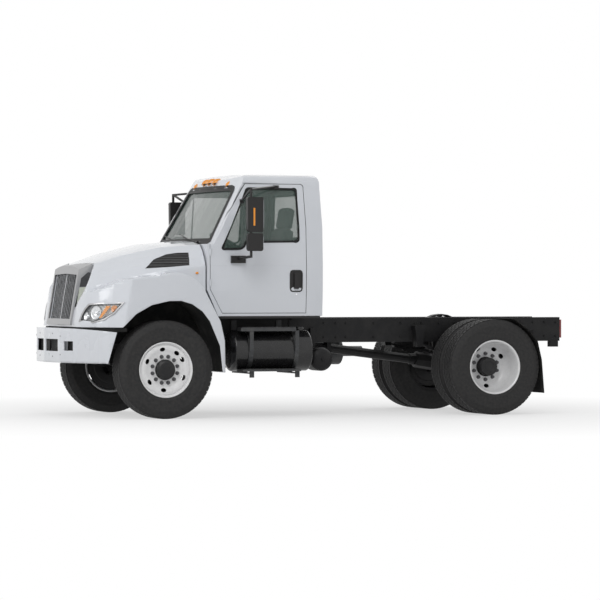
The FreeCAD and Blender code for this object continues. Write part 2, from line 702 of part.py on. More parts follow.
def cab_parts():
    shell = cab_body(0).cut(cab_body(CAB_WALL))
    door_cut = side_zone(door_face(0), CAB_WALL)
    window = side_zone(WINDOW, CAB_WALL + 10)
    screen_cut = along(SCREEN_HOLE, -1080, -300)
    rear_cut = along(REAR_HOLE, -2000, -1700)
    pins, barrels, bores, cab_room, door_room = hinge_pieces(CAB_HALF)
    cab = cut(shell, both(door_cut) + [screen_cut, rear_cut])
    for room in cab_room:
        cab = cut(cab, both(room))
    cab = fuse([cab] + pins + [mirrored(p) for p in pins])
    door = cut(shell.common(side_zone(door_face(DOOR_GAP), CAB_WALL - DOOR_GAP)), [window] + door_room)
    door = cut(fuse([door] + barrels), bores)
    pane = cab_body(GLASS_INSET).cut(cab_body(GLASS_INSET + GLASS))
    door_pane = pane.common(side_zone(WINDOW, GLASS_INSET + GLASS + 3))
    screen = cut(pane.common(screen_cut), both(door_cut))
    return cab, door, door_pane, [screen, pane.common(rear_cut)]


def mirror_assembly(door):
    """The head, the round glass under it and the three arms that hold both on the door."""
    head = face("xz", (-838, 2021), (-851, 1998, -876, 1992), (-976, 1992), (-1004, 1998, -1012, 2024),
                (-1012, 2335), (-1004, 2362, -976, 2366), (-866, 2366), (-840, 2360, -834, 2333))
    low = face("xz", (-838, 1812), (-850, 1794, -876, 1790), (-976, 1790), (-1002, 1796, -1010, 1822),
               (-1010, 1949), (-1000, 1976, -976, 1980), (-866, 1980), (-844, 1974, -838, 1949))
    x = -882
    y = 1368
    parts = [across(head, 1330, 1400), across(low, 1335, 1395), bar((x, y, 1720), (x, y, 2460), 13, 6),
             bar((-850, CAB_HALF + 20, 1710), (x, y, 1732), 13, 6), bar((x, y, 2450), (-1320, 900, 2493), 11, 6),
             bar((x, y, 2450), (-919, 925, 2330), 11, 6), box(-930, -770, CAB_HALF - 12, CAB_HALF + 36, 1662, 1742),
             box(-1350, -1290, 890, 925, 2462, 2505), box(-940, -898, 905, 950, 2306, 2352)]
    return fuse(parts).cut(door).cut(cab_body(1))


def dashboard():
    """The instrument panel, from the floor to the foot of the windscreen."""
    shape = face("xz", (-552, 1150), (-552, 1812), (-599, 1832), (-776, 1802, -836, 1712), (-826, 1592), (-766, 1532),
                 (-716, 1150))
    return across(shape, -960, 960).common(cab_body(CAB_WALL))


def seat(y):
    """A seat on its box, with the back and the headrest."""
    cushion = face("xz", (-1470, 1470), (-1450, 1450), (-1000, 1450), (-976, 1490), (-985, 1550), (-1030, 1576),
                   (-1440, 1566))
    back = face("xz", (-1418, 1560), (-1540, 1545), (-1624, 2080), (-1600, 2105), (-1530, 2100), (-1510, 2080))
    rest = face("xz", (-1548, 2096), (-1606, 2100), (-1636, 2260), (-1610, 2290), (-1560, 2285), (-1540, 2250))
    return fuse([box(-1420, -1040, y - 190, y + 190, CAB_FLOOR + CAB_WALL, 1455), across(cushion, y - 250, y + 250),
                 across(back, y - 240, y + 240), across(rest, y - 130, y + 130)])


def steering_wheel():
    """A rim of flat-sided section, with three spokes, the hub and the column down to the panel."""
    parts = [turned([(200, 0), (208, -14), (222, -14), (230, 0), (222, 14), (208, 14)], 0, 0, 16)]
    parts.append(bar((0, -20, 0), (0, 15, 0), 55, 12))
    parts.append(bar((0, 10, 0), (0, 240, 0), 28))
    for angle in (90, 210, 330):
        a = math.radians(angle)
        parts.append(bar((0, 0, 0), (205 * math.cos(a), 0, 205 * math.sin(a)), 9, 4))
    wheel = fuse(parts)
    wheel.rotate(V(0, 0, 0), V(1, 0, 0), -90)
    wheel.rotate(V(0, 0, 0), V(0, 1, 0), -32)
    wheel.translate(V(-916, 480, 1808))
    return wheel.cut(dashboard())


def roof_lamps():
    out = []
    for y in (-560, -180, 0, 180, 560):
        x = -893 - 0.00009 * y * y
        z = 2562 - 0.00012 * y * y
        lens = face("xz", (x - 66, z - 16), (x - 52, z + 36), (x + 10, z + 34), (x + 48, z - 16))
        out.append(across(lens, y - 32, y + 32))
    return out


# Chassis units

def fuel_tank():
    body = bar((TANK_FRONT, TANK_Y, TANK_Z), (TANK_REAR, TANK_Y, TANK_Z), TANK_R, TANK_SIDES)
    filler = bar((-1630, TANK_Y, TANK_Z + 180), (-1630, TANK_Y, TANK_Z + 255), 45, 12)
    return fuse([body, filler])


def tank_fittings():
    """The straps and brackets that hold the tank on the rail, with both steps."""
    outer = TANK_R + STRAP_FIT + 8
    edge = TANK_Y + outer
    parts = []
    for x in STRAPS:
        ends = [(x + d, TANK_Y, TANK_Z) for d in (-25, 25)]
        parts.append(bar(ends[0], ends[1], outer, TANK_SIDES))
        parts.append(box(x - 30, x + 30, RAIL_Y, RAIL_Y + PLATE, 500, RAIL_TOP - 22))
        shelf = face("yz", (RAIL_Y, 500), (RAIL_Y, 900), (560, 740), (640, 540), (760, 484), (1060, 484), (1060, 470),
                     (RAIL_Y, 470))
        parts.append(along(shelf, x - 20, x + 20))
        parts.append(box(x - 22, x + 22, edge - 2, edge + 14, TANK_Z, 935))
        parts.append(box(x - 22, x + 22, 1030, 1060, 430, 500))
    parts.append(box(-1503, -874, 930, edge + 26, 930, 966))
    parts.append(box(-1542, -880, 900, 1110, 497, 517))
    room = bar((TANK_FRONT + 10, TANK_Y, TANK_Z), (TANK_REAR - 10, TANK_Y, TANK_Z), TANK_R + STRAP_FIT,
               TANK_SIDES)
    return [fuse(parts).cut(room)]


def battery_box():
    parts = [box(-1540, -880, -1000, -500, 500, 910), box(-1520, -890, -1060, -900, 910, 966),
             box(-1540, -880, -1110, -990, 500, 520)]
    parts += [box(x - 30, x + 30, -510, -RAIL_Y, 590, RAIL_TOP - 22) for x in (-990, -1430)]
    return fuse(parts)


def exhaust():
    front = CAB_REAR + 85
    rear = TYRE_R + EXHAUST_ROOM - WHEELBASE
    can = bar((front, -760, 670), (rear + 260, -760, 670), 150, 16)
    tail = bar((rear + 270, -760, 670), (rear, -760, 670), 58, 12)
    hang = [box(x - 25, x + 25, -630, -RAIL_Y, 640, RAIL_LOW + 200) for x in (front - 140, rear + 410)]
    return fuse([can, tail] + hang)


def air_tank():
    x = -1900
    can = bar((x, 490, 616), (x, 790, 616), 128, 16)
    dome = bar((x, 470, 616), (x, 810, 616), 96, 8)
    return fuse([can, dome, box(x - 25, x + 25, RAIL_Y, RAIL_Y + PLATE, 600, RAIL_LOW + 160),
                 box(x - 25, x + 25, RAIL_Y, 480, 600, 660)])


def mudguards():
    """The flaps behind the rear wheels, each on a bracket from its rail."""
    x = -WHEELBASE
    flap = face("xz", (x - 223, 1052), (x - 400, 925), (x - 497, 800), (x - 545, 600), (x - 575, 235),
                (x - 583, 235), (x - 553, 602), (x - 505, 804), (x - 405, 932), (x - 227, 1060))
    bracket = face("xz", (x - 470, 880), (x - 470, 930), (x - 409, 930), (x - 430, 880))
    out = []
    for side in (1, -1):
        y = sorted((side * 600, side * 1232))
        yb = sorted((side * RAIL_Y, side * 1180))
        out.append(fuse([across(flap, y[0], y[1]), across(bracket, yb[0], yb[1])]))
    return out


def tail_lamps():
    return both(box(REAR_END, RAIL_REAR, 290, 425, 830, 1034))


def drive_shaft():
    """Two shafts with flanges, meeting at the bearing under a crossmember."""
    x = -WHEELBASE
    z = AXLE_Z + 70
    mid = -2250
    return fuse([bar((-1256, 0, 800), (mid, 0, 722), 50, 12), bar((mid, 0, 722), (x + 530, 0, z), 50, 12),
                 bar((x + 500, 0, z), (x + 540, 0, z), 60, 12),
                 box(mid - 25, mid + 25, -60, 60, 680, RAIL_LOW + 30)]).cut(box(-1256, -1000, -200, 200, 600, 1000))


body, surround, bars, lamps, vents = hood_parts()
save("hood", [body])
save("grille_surround", [surround])
save("grille_bars", [bars])
save("headlamps", lamps)
save("hood_vents", vents)

cab, door, door_pane, panes = cab_parts()
mirror = mirror_assembly(door)
save("cab_shell", [cab])
save("cab_windows", panes)
save("dashboard", [dashboard()])
save("seats", [seat(480), seat(-480)])
save("steering_wheel", [steering_wheel()])
save("roof_lamps", [lamp.cut(cab_body(0)) for lamp in roof_lamps()])

save("frame_rails", both(rail()))
save("crossmembers", crossmembers())
save("front_bumper", [front_bumper()])
save("hood_mounts", hood_mounts())
save("front_axle", [front_axle()])
save("rear_axle", [rear_axle()])
save("leaf_springs", springs())
save("drive_shaft", [drive_shaft()])
engine_block = box(-490, 540, -310, 310, 730, 1590)
save("engine", [fuse([engine_block] + both(box(20, 140, 300, RAIL_Y - RAIL_WEB, 830, 900)))])
save("transmission", [box(-1256, -490, -230, 230, 670, 1045)])
save("radiator", [fuse([box(580, 680, -335, 335, 790, 1500)] + both(box(600, 660, 330, RAIL_Y - RAIL_WEB, 850, 880)))])
save("fuel_tank", [fuel_tank()])
save("tank_fittings", tank_fittings())
save("battery_box", [battery_box()])
save("exhaust", [exhaust()])
save("air_tank", [air_tank()])
save("rear_mudguards", mudguards())
save("tail_lamps", tail_lamps())
save("tie_rod", [tie_rod()])

twin = [tyre(-WHEELBASE, REAR_OUTER_Y), tyre(-WHEELBASE, REAR_OUTER_Y - TWIN_SPACING)]
sided = {"door": [door], "door_glass": [door_pane], "door_mirror": [mirror], "knuckle": [knuckle()],
         "tyre_front": [tyre(0, FRONT_TYRE_Y)], "rim_front": [front_rim()], "tyres_rear": twin,
         "rims_rear": [rear_rims()]}
for name, shapes in sided.items():
    save(name + "_left", shapes)
    save(name + "_right", [mirrored(s) for s in shapes])
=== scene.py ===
import json
import math

import bmesh
import bpy
from mathutils import Matrix, Vector
from mathutils.bvhtree import BVHTree


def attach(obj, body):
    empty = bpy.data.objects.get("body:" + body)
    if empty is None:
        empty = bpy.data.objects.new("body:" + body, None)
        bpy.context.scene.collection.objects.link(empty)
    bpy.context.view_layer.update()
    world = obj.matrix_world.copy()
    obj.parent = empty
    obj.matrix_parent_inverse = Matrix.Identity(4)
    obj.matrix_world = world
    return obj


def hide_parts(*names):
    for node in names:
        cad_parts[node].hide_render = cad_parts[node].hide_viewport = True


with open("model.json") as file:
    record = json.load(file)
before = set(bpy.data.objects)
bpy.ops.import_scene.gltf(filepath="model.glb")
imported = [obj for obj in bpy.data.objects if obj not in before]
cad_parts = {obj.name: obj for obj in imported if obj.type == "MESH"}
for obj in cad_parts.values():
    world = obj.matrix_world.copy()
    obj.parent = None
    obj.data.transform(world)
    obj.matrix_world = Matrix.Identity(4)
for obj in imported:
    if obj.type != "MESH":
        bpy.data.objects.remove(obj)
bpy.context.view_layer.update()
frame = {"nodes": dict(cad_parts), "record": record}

# Places below are in millimetres: X forward from the front axle, Y to the left, Z up from the ground.
SHIFT = 1945.0
REAR = -3767.0
AXLE_Z = 525.0
FRONT_TYRE = 1020.0
REAR_TYRES = (1092.0, 750.0)
RAIL = 432.0
CAB_HALF = 1015.0
BELT = 1632
SIDES = ((1, "left"), (-1, "right"))

# The hood front in plan: nearly flat in the middle, then an arc about a middle point, and all of it leaning back.
NOSE_FLAT, NOSE_X = 540, 856
NOSE_ARC_X, NOSE_ARC_Y, NOSE_ARC_R = 134.8, 560.7, 713.5
NOSE_LEAN, NOSE_LOW = 0.165, 978

# The photograph's camera, in pixels of its 600.
PICTURE, FOCAL, HORIZON = 600.0, 3496.0, 280.1
CAMERA_YAW = math.radians(19.76)
CAMERA_PLACE = (SHIFT / 1000.0 + 11.233, 36.631, 1.48)


# Shader helpers

class Wire:
    """A shader socket that sums can be written with."""

    def __init__(self, net, socket):
        self.net = net
        self.socket = socket

    def sum(self, operation, *others):
        return self.net.node("ShaderNodeMath", {"operation": operation},
                             dict(enumerate((self,) + others)))

    def __add__(self, other):
        return self.sum("ADD", other)

    def __mul__(self, other):
        return self.sum("MULTIPLY", other)


class Net:
    """One material and its nodes."""

    def __init__(self, name):
        self.material = bpy.data.materials.new(name)
        self.material.use_nodes = True
        self.tree = self.material.node_tree
        self.tree.nodes.clear()
        self.output = self.tree.nodes.new("ShaderNodeOutputMaterial")
        self.shader = self.tree.nodes.new("ShaderNodeBsdfPrincipled")
        self.tree.links.new(self.shader.outputs[0], self.output.inputs["Surface"])
        self.place = self.node("ShaderNodeTexCoord", {}, {}, out="Object")

    def put(self, socket, value):
        if isinstance(value, Wire):
            self.tree.links.new(value.socket, socket)
        else:
            socket.default_value = value

    def node(self, kind, settings, values, out=0):
        made = self.tree.nodes.new(kind)
        for key, value in settings.items():
            if key == "stops":
                while len(made.color_ramp.elements) < len(value):
                    made.color_ramp.elements.new(0.5)
                for element, (place, colour) in zip(made.color_ramp.elements, value):
                    element.position = place
                    element.color = tuple(colour) + (1.0,)
            else:
                setattr(made, key, value)
        for key, value in values.items():
            self.put(made.inputs[key], value)
        return Wire(self, made.outputs[out])

    def ramp(self, factor, *stops):
        return self.node("ShaderNodeValToRGB", {"stops": stops}, {0: factor})

    def noise(self, scale, detail=3.0, stretch=None):
        place = self.place
        if stretch:
            place = self.node("ShaderNodeMapping", {}, {"Vector": place, "Scale": stretch})
        return self.node("ShaderNodeTexNoise", {}, {"Vector": place, "Scale": scale, "Detail": detail})

    def split(self, axis):
        return self.node("ShaderNodeSeparateXYZ", {}, {0: self.place}, out=axis)

    def mix(self, factor, a, b):
        ends = [v if isinstance(v, Wire) else tuple(v) + (1.0,) for v in (a, b)]
        return self.node("ShaderNodeMix", {"data_type": "RGBA"}, {0: factor, 6: ends[0], 7: ends[1]}, out=2)

    def bump(self, height, distance, strength=1.0):
        return self.node("ShaderNodeBump", {}, {"Height": height, "Distance": distance, "Strength": strength})

    def surface(self, **values):
        names = {"colour": "Base Color", "rough": "Roughness", "metal": "Metallic", "normal": "Normal",
                 "coat": "Coat Weight", "coat_rough": "Coat Roughness", "alpha": "Alpha", "sheen": "Sheen Weight",
                 "specular": "Specular IOR Level"}
        for key, value in values.items():
            if isinstance(value, tuple) and len(value) == 3:
                value = value + (1.0,)
            self.put(self.shader.inputs[names[key]], value)
        return self.material


def body_paint():
    """White two-coat paint with a faint orange peel and a little road film low down."""
    net = Net("body_paint")
    haze = net.noise(2.5, 2.0)
    height = net.split(2)
    film = net.node("ShaderNodeMapRange", {}, {0: height, 1: 0.55, 2: 1.25, 3: 0.5, 4: 0.0})
    film = film * (net.noise(9.0, 5.0) * 0.8 + 0.2)
    clean = net.ramp(haze, (0.35, (0.665, 0.69, 0.735)), (0.65, (0.69, 0.715, 0.76)))
    colour = net.mix(film * 0.35, clean, (0.48, 0.47, 0.45))
    return net.surface(colour=colour, rough=haze * 0.06 + film * 0.25 + 0.2, coat=0.7, coat_rough=0.05,
                       normal=net.bump(net.noise(420.0, 1.0), 0.00004))


def finish(name, colour, rough, metal=0.0, scale=60.0, depth=0.0, dust=0.0, coat=0.0, coarse=None, even=False,
           shine=0.5):
    """A finish with fine mottling, an optional grain of a given depth and some dust."""
    net = Net(name)
    spots = net.noise(scale, 4.0)
    dark, light = (0.95, 1.03) if even else (0.75, 1.1)
    shade = net.ramp(spots, (0.3, tuple(c * dark for c in colour)), (0.7, tuple(c * light for c in colour)))
    if dust:
        cloud = net.node("ShaderNodeMapRange", {}, {0: net.noise(7.0, 5.0), 1: 0.42, 2: 0.75, 3: 0.0, 4: dust})
        shade = net.mix(cloud, shade, (0.25, 0.24, 0.22))
    values = {"colour": shade, "rough": spots * 0.18 + (rough - 0.08), "metal": metal, "coat": coat,
              "specular": shine}
    if depth:
        values["normal"] = net.bump(net.noise(coarse or scale * 6.0, 2.0), depth)
    return net.surface(**values)


def brushed_chrome():
    net = Net("bright_plate")
    streak = net.noise(40.0, 3.0, (1.0, 1.0, 0.15))
    return net.surface(colour=net.ramp(streak, (0.3, (0.66, 0.67, 0.69)), (0.7, (0.80, 0.81, 0.83))),
                       rough=streak * 0.12 + 0.12, metal=1.0)


def tyre_rubber():
    """Black rubber with faint mottling and a fine grain."""
    net = Net("tyre_rubber")
    spots = net.noise(35.0, 5.0)
    colour = net.ramp(spots, (0.3, (0.016, 0.016, 0.017)), (0.75, (0.034, 0.033, 0.032)))
    return net.surface(colour=colour, rough=spots * 0.15 + 0.62, specular=0.35,
                       normal=net.bump(net.noise(700.0, 2.0), 0.0002))


def clear_glass(name, tint, alpha):
    net = Net(name)
    film = net.noise(3.0, 3.0)
    return net.surface(colour=tint, rough=film * 0.03 + 0.01, alpha=alpha, specular=0.6, coat=0.3)


def lens(name, colour):
    """Moulded lens plastic with upright flutes."""
    net = Net(name)
    wave = net.node("ShaderNodeTexWave", {"wave_type": "BANDS", "bands_direction": "X"},
                    {"Vector": net.place, "Scale": 260.0, "Distortion": 0.0}, out=1)
    spots = net.noise(30.0)
    return net.surface(colour=net.ramp(spots, (0.3, tuple(c * 0.85 for c in colour)), (0.7, colour)),
                       rough=spots * 0.08 + 0.08, coat=0.5, normal=net.bump(wave, 0.0004, 0.6))


def woven_cloth():
    net = Net("seat_weave")
    across = net.node("ShaderNodeTexWave", {"bands_direction": "Y"}, {"Vector": net.place, "Scale": 420.0}, out=1)
    up = net.node("ShaderNodeTexWave", {"bands_direction": "Z"}, {"Vector": net.place, "Scale": 420.0}, out=1)
    weave = across * up
    worn = net.noise(6.0, 4.0)
    colour = net.mix(weave * 0.5 + worn * 0.3, (0.05, 0.052, 0.058), (0.17, 0.172, 0.18))
    return net.surface(colour=colour, rough=0.9, sheen=0.3, normal=net.bump(weave, 0.0006))


def tread_plate():
    """Punched anti-slip metal for the steps."""
    net = Net("step_plate")
    cells = net.node("ShaderNodeTexVoronoi", {"feature": "F1"}, {"Vector": net.place, "Scale": 55.0},
                     out="Distance")
    spots = net.noise(30.0, 4.0)
    colour = net.ramp(spots, (0.3, (0.035, 0.035, 0.036)), (0.7, (0.08, 0.08, 0.082)))
    return net.surface(colour=colour, rough=spots * 0.2 + 0.4, metal=0.5, normal=net.bump(cells, 0.004))


PAINT = body_paint()
FRAME_PAINT = finish("frame_paint", (0.009, 0.009, 0.010), 0.46, dust=0.05, depth=0.0003, shine=0.25)
CASTING = finish("casting", (0.045, 0.046, 0.048), 0.62, 0.3, dust=0.25, depth=0.0012, coarse=160.0)
TANK_PAINT = finish("tank_paint", (0.010, 0.010, 0.011), 0.24, coat=0.3, dust=0.04, depth=0.0002, shine=0.35)
STEEL = finish("step_steel", (0.06, 0.062, 0.065), 0.46, 0.6, dust=0.15, depth=0.0004)
MUD_RUBBER = finish("flap_rubber", (0.010, 0.010, 0.010), 0.75, dust=0.12, depth=0.0006, shine=0.25)
SEAL = finish("seal_rubber", (0.006, 0.006, 0.006), 0.5, depth=0.0001, shine=0.3)
PLASTIC = finish("black_moulding", (0.013, 0.012, 0.012), 0.42, depth=0.0002, coarse=900.0, shine=0.4)
CABIN = finish("cabin_moulding", (0.062, 0.070, 0.068), 0.65, depth=0.0004, coarse=700.0)
MESH = finish("intake_mesh", (0.006, 0.006, 0.006), 0.7, depth=0.003, coarse=220.0)
# The slats are the intake's black plastic, coloured lighter as a painted highlight.
SLAT_PAINTED_HIGHLIGHT = finish("slat_moulding_painted_highlight", (0.045, 0.046, 0.048), 0.35, depth=0.0002, coarse=900.0)
CHROME = brushed_chrome()
NUT_STEEL = finish("nut_steel", (0.10, 0.10, 0.105), 0.34, 0.7, depth=0.0001)
HUB_BLACK = finish("hub_black", (0.009, 0.009, 0.010), 0.4, dust=0.06, depth=0.0003, shine=0.35)
SATIN = finish("satin_plate", (0.40, 0.40, 0.405), 0.34, 1.0, scale=9.0, even=True)
# Cheek plates of the chrome grille surround: their dark and pale greenish colours are painted reflections.
CHEEK_DARK_REFLECTION = finish("cheek_painted_dark_reflection", (0.085, 0.085, 0.088), 0.3, 0.6, scale=9.0)
CHEEK_PALE_REFLECTION = finish("cheek_painted_pale_reflection", (0.58, 0.61, 0.52), 0.35, 0.3, scale=9.0, even=True)
RIM_PAINT = finish("wheel_paint", (0.84, 0.84, 0.845), 0.3, coat=0.4, dust=0.02, even=True)
RUBBER = tyre_rubber()
GLASS = clear_glass("cab_glass", (0.15, 0.21, 0.185), 0.34)
MIRROR = finish("mirror_face", (0.55, 0.57, 0.6), 0.1, 1.0)
LAMP_GLASS = clear_glass("lamp_cover", (0.85, 0.87, 0.9), 0.10)
LAMP_BOWL = finish("lamp_bowl", (0.80, 0.81, 0.82), 0.16, 0.95, scale=25.0)
LAMP_PALE = finish("lamp_lining", (0.62, 0.63, 0.62), 0.3, 0.3, scale=25.0)
AMBER = lens("amber_lens", (0.93, 0.33, 0.006))
RED = lens("red_lens", (0.26, 0.008, 0.008))
CLOTH = woven_cloth()
STEP = tread_plate()

finishes = {"paint_white": PAINT, "frame_black": FRAME_PAINT, "engine_grey": CASTING, "tank_black": TANK_PAINT,
            "step_grey": STEEL, "flap_black": MUD_RUBBER, "lamp_red": RED, "lamp_amber": AMBER, "glass": GLASS,
            "dash_grey": CABIN, "seat_cloth": CLOTH, "chrome": CHROME, "lamp_clear": LAMP_GLASS,
            "vent_black": PLASTIC, "mirror_black": PLASTIC, "tyre": RUBBER, "rim_white": RIM_PAINT}
usual_slot = {material.name: slot for slot, material in finishes.items()}
usual_slot[SEAL.name] = "mirror_black"
slot_of = {part["node"]: part["material_slot"] for part in frame["record"]["subparts"]}
for name, node in frame["nodes"].items():
    node.data.materials.clear()
    node.data.materials.append(finishes[slot_of[name]])


# Making pieces

def at(x, y, z):
    return Vector(((x + SHIFT) / 1000.0, y / 1000.0, z / 1000.0))


def placed(name, data):
    """A new object in the scene."""
    made = bpy.data.objects.new(name, data)
    bpy.context.scene.collection.objects.link(made)
    return made


def piece(name, bm, material, body="chassis", stands_for=(), slot=None, sharp=35.0, soften=0.0, weighted=True):
    """Turns a bmesh into a finished object that rides on a body."""
    if soften:
        edges = [e for e in bm.edges if e.is_manifold and e.calc_face_angle(0.0) > math.radians(sharp)]
        bmesh.ops.bevel(bm, geom=edges, offset=soften / 1000.0, segments=2, profile=0.5, affect="EDGES",
                        clamp_overlap=True, material=-1)
    mesh = bpy.data.meshes.new(name)
    bm.to_mesh(mesh)
    bm.free()
    mesh.polygons.foreach_set("use_smooth", [True] * len(mesh.polygons))
    mesh.set_sharp_from_angle(angle=math.radians(sharp))
    mesh.materials.append(material)
    made = placed(name, mesh)
    if weighted:
        even = made.modifiers.new("even_shading", "WEIGHTED_NORMAL")
        even.keep_sharp = True
    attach(made, body)
    if stands_for:
        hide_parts(*stands_for)
    slot = slot or usual_slot.get(material.name)
    return made


def outward(bm):
    bmesh.ops.remove_doubles(bm, verts=bm.verts, dist=2e-6)
    bmesh.ops.recalc_face_normals(bm, faces=bm.faces)
    return bm


def flipped(bm):
    """The same shape on the right-hand side."""
    bmesh.ops.scale(bm, vec=(1, -1, 1), verts=bm.verts)
    bmesh.ops.reverse_faces(bm, faces=bm.faces)
    return bm


def copied(node):
    """A merged copy of a solid's mesh, with its flat triangles joined again."""
    bm = bmesh.new()
    bm.from_mesh(frame["nodes"][node].data)
    bmesh.ops.remove_doubles(bm, verts=bm.verts, dist=2e-6)
    bmesh.ops.dissolve_limit(bm, angle_limit=0.008, verts=bm.verts, edges=bm.edges)
    return bm


def netted(node, step):
    """A copy of a solid cut into an even net of triangles, so that it can be bent."""
    bm = copied(node)
    low = [min(v.co[i] for v in bm.verts) for i in range(3)]
    high = [max(v.co[i] for v in bm.verts) for i in range(3)]
    for axis in range(3):
        spot = low[axis] + step / 2
        while spot < high[axis]:
            middle, across = Vector((0, 0, 0)), Vector((0, 0, 0))
            middle[axis], across[axis] = spot, 1.0
            bmesh.ops.bisect_plane(bm, geom=bm.verts[:] + bm.edges[:] + bm.faces[:], dist=1e-5, plane_co=middle,
                                   plane_no=across)
            spot += step
    bmesh.ops.triangulate(bm, faces=bm.faces)
    return bm


def lined_copy(node, body, inside):
    """A painted copy of a hollow solid; the faces that look at a point inside take the cabin lining."""
    made = piece(node + "_skin", copied(node), PAINT, body, (node,), slot_of[node], 34.0)
    made.data.materials.append(CABIN)
    middle = at(*inside)
    for polygon in made.data.polygons:
        if (middle - polygon.center).normalized().dot(polygon.normal) > 0.12:
            polygon.material_index = 1


def joined(bm, other):
    """Puts one shape into another, and lets go of it."""
    mesh = bpy.data.meshes.new("part")
    other.to_mesh(mesh)
    other.free()
    bm.from_mesh(mesh)
    bpy.data.meshes.remove(mesh)
    return bm


def skin_of(node):
    """A finder for the front-most place of a solid at a width and height."""
    mesh = frame["nodes"][node].data
    tree = BVHTree.FromPolygons([v.co for v in mesh.vertices], [tuple(p.vertices) for p in mesh.polygons])

    def find(y, z):
        hit = tree.ray_cast(at(2000, y, z), Vector((-1, 0, 0)))[0]
        return None if hit is None else hit.x * 1000.0 - SHIFT
    return find


def spun(profile, x, y, z, axis="Y", steps=64, loop=False):
    """A profile of radius and distance pairs turned about a line along an axis through x, y, z."""
    bm = bmesh.new()
    verts = []
    for radius, along in profile:
        spot = (x + radius, y + along, z) if axis == "Y" else (x + along, y + radius, z)
        verts.append(bm.verts.new(at(*spot)))
    edges = [bm.edges.new(pair) for pair in zip(verts, verts[1:])]
    if loop:
        edges.append(bm.edges.new((verts[-1], verts[0])))
    bmesh.ops.spin(bm, geom=verts + edges, cent=at(x, y, z), axis=(0, 1, 0) if axis == "Y" else (1, 0, 0),
                   angle=2 * math.pi, steps=steps, use_merge=True)
    return outward(bm)


def slab(bm, x0, x1, y0, y1, z0, z1, turn=None):
    """A box between two corners, turned about its middle where a rotation is given."""
    low = at(min(x0, x1), min(y0, y1), min(z0, z1))
    high = at(max(x0, x1), max(y0, y1), max(z0, z1))
    size = high - low
    grow = Matrix.Diagonal((size.x, size.y, size.z, 1.0))
    place = Matrix.Translation((low + high) / 2)
    bmesh.ops.create_cube(bm, size=1.0, matrix=place @ (turn or Matrix()) @ grow)
    return bm


def boxes(name, material, *rows, **more):
    """A piece made of boxes alone, each given by its corners."""
    bm = bmesh.new()
    for row in rows:
        slab(bm, *row)
    return piece(name, outward(bm), material, **more)


def peg(bm, start, end, r, sides=12, r2=None):
    """A round bar between two points."""
    a = at(*start)
    run = at(*end) - a
    turn = run.to_track_quat("Z", "Y").to_matrix().to_4x4()
    bmesh.ops.create_cone(bm, cap_ends=True, segments=sides, radius1=r / 1000.0,
                          radius2=(r if r2 is None else r2) / 1000.0, depth=run.length,
                          matrix=Matrix.Translation(a + run / 2) @ turn)
    return bm


def plate(bm, outline, push):
    """A flat outline of points drawn out by a push given in millimetres."""
    verts = [bm.verts.new(at(*p)) for p in outline]
    base = bm.faces.new(verts)
    grown = bmesh.ops.extrude_face_region(bm, geom=[base])["geom"]
    moved = [g for g in grown if isinstance(g, bmesh.types.BMVert)]
    bmesh.ops.translate(bm, vec=Vector(push) / 1000.0, verts=moved)
    return bm


def band(bm, inner, outer, push):
    """A closed frame between two loops of points, given a thickness by a push in millimetres."""
    loops = []
    for loop in (inner, outer):
        verts = [bm.verts.new(at(*p)) for p in loop]
        loops += [bm.edges.new(pair) for pair in zip(verts, verts[1:] + verts[:1])]
    faces = bmesh.ops.bridge_loops(bm, edges=loops)["faces"]
    grown = bmesh.ops.extrude_face_region(bm, geom=faces)["geom"]
    moved = [g for g in grown if isinstance(g, bmesh.types.BMVert)]
    bmesh.ops.translate(bm, vec=Vector(push) / 1000.0, verts=moved)
    return outward(bm)


def carved(bm, cutter):
    """What is left of one shape after another is cut from it."""
    pair = []
    for name, shape in (("whole", bm), ("cutter", cutter)):
        mesh = bpy.data.meshes.new(name)
        shape.to_mesh(mesh)
        shape.free()
        pair.append(placed(name, mesh))
    cut = pair[0].modifiers.new("cut", "BOOLEAN")
    cut.operation = "DIFFERENCE"
    cut.solver = "EXACT"
    cut.object = pair[1]
    graph = bpy.context.evaluated_depsgraph_get()
    result = bpy.data.meshes.new_from_object(pair[0].evaluated_get(graph))
    out = bmesh.new()
    out.from_mesh(result)
    for made in pair:
        mesh = made.data
        bpy.data.objects.remove(made)
        bpy.data.meshes.remove(mesh)
    bpy.data.meshes.remove(result)
    return out


def inset_loop(points, by):
    """A loop of points in a plane moved inwards (or outwards where by is negative) by its corners' middles."""
    out = []
    count = len(points)
    area = sum(points[i - 1][0] * points[i][1] - points[i][0] * points[i - 1][1] for i in range(count))
    side = 1.0 if area > 0 else -1.0
    for i in range(count):
        before = Vector(points[i]) - Vector(points[i - 1])
        after = Vector(points[(i + 1) % count]) - Vector(points[i])
        before.normalize()
        after.normalize()
        n1 = Vector((-before.y, before.x)) * side
        n2 = Vector((-after.y, after.x)) * side
        miter = n1 + n2
        miter *= by / max(0.35, 1.0 + n1.dot(n2))
        out.append((points[i][0] + miter.x, points[i][1] + miter.y))
    return out


# Wheels

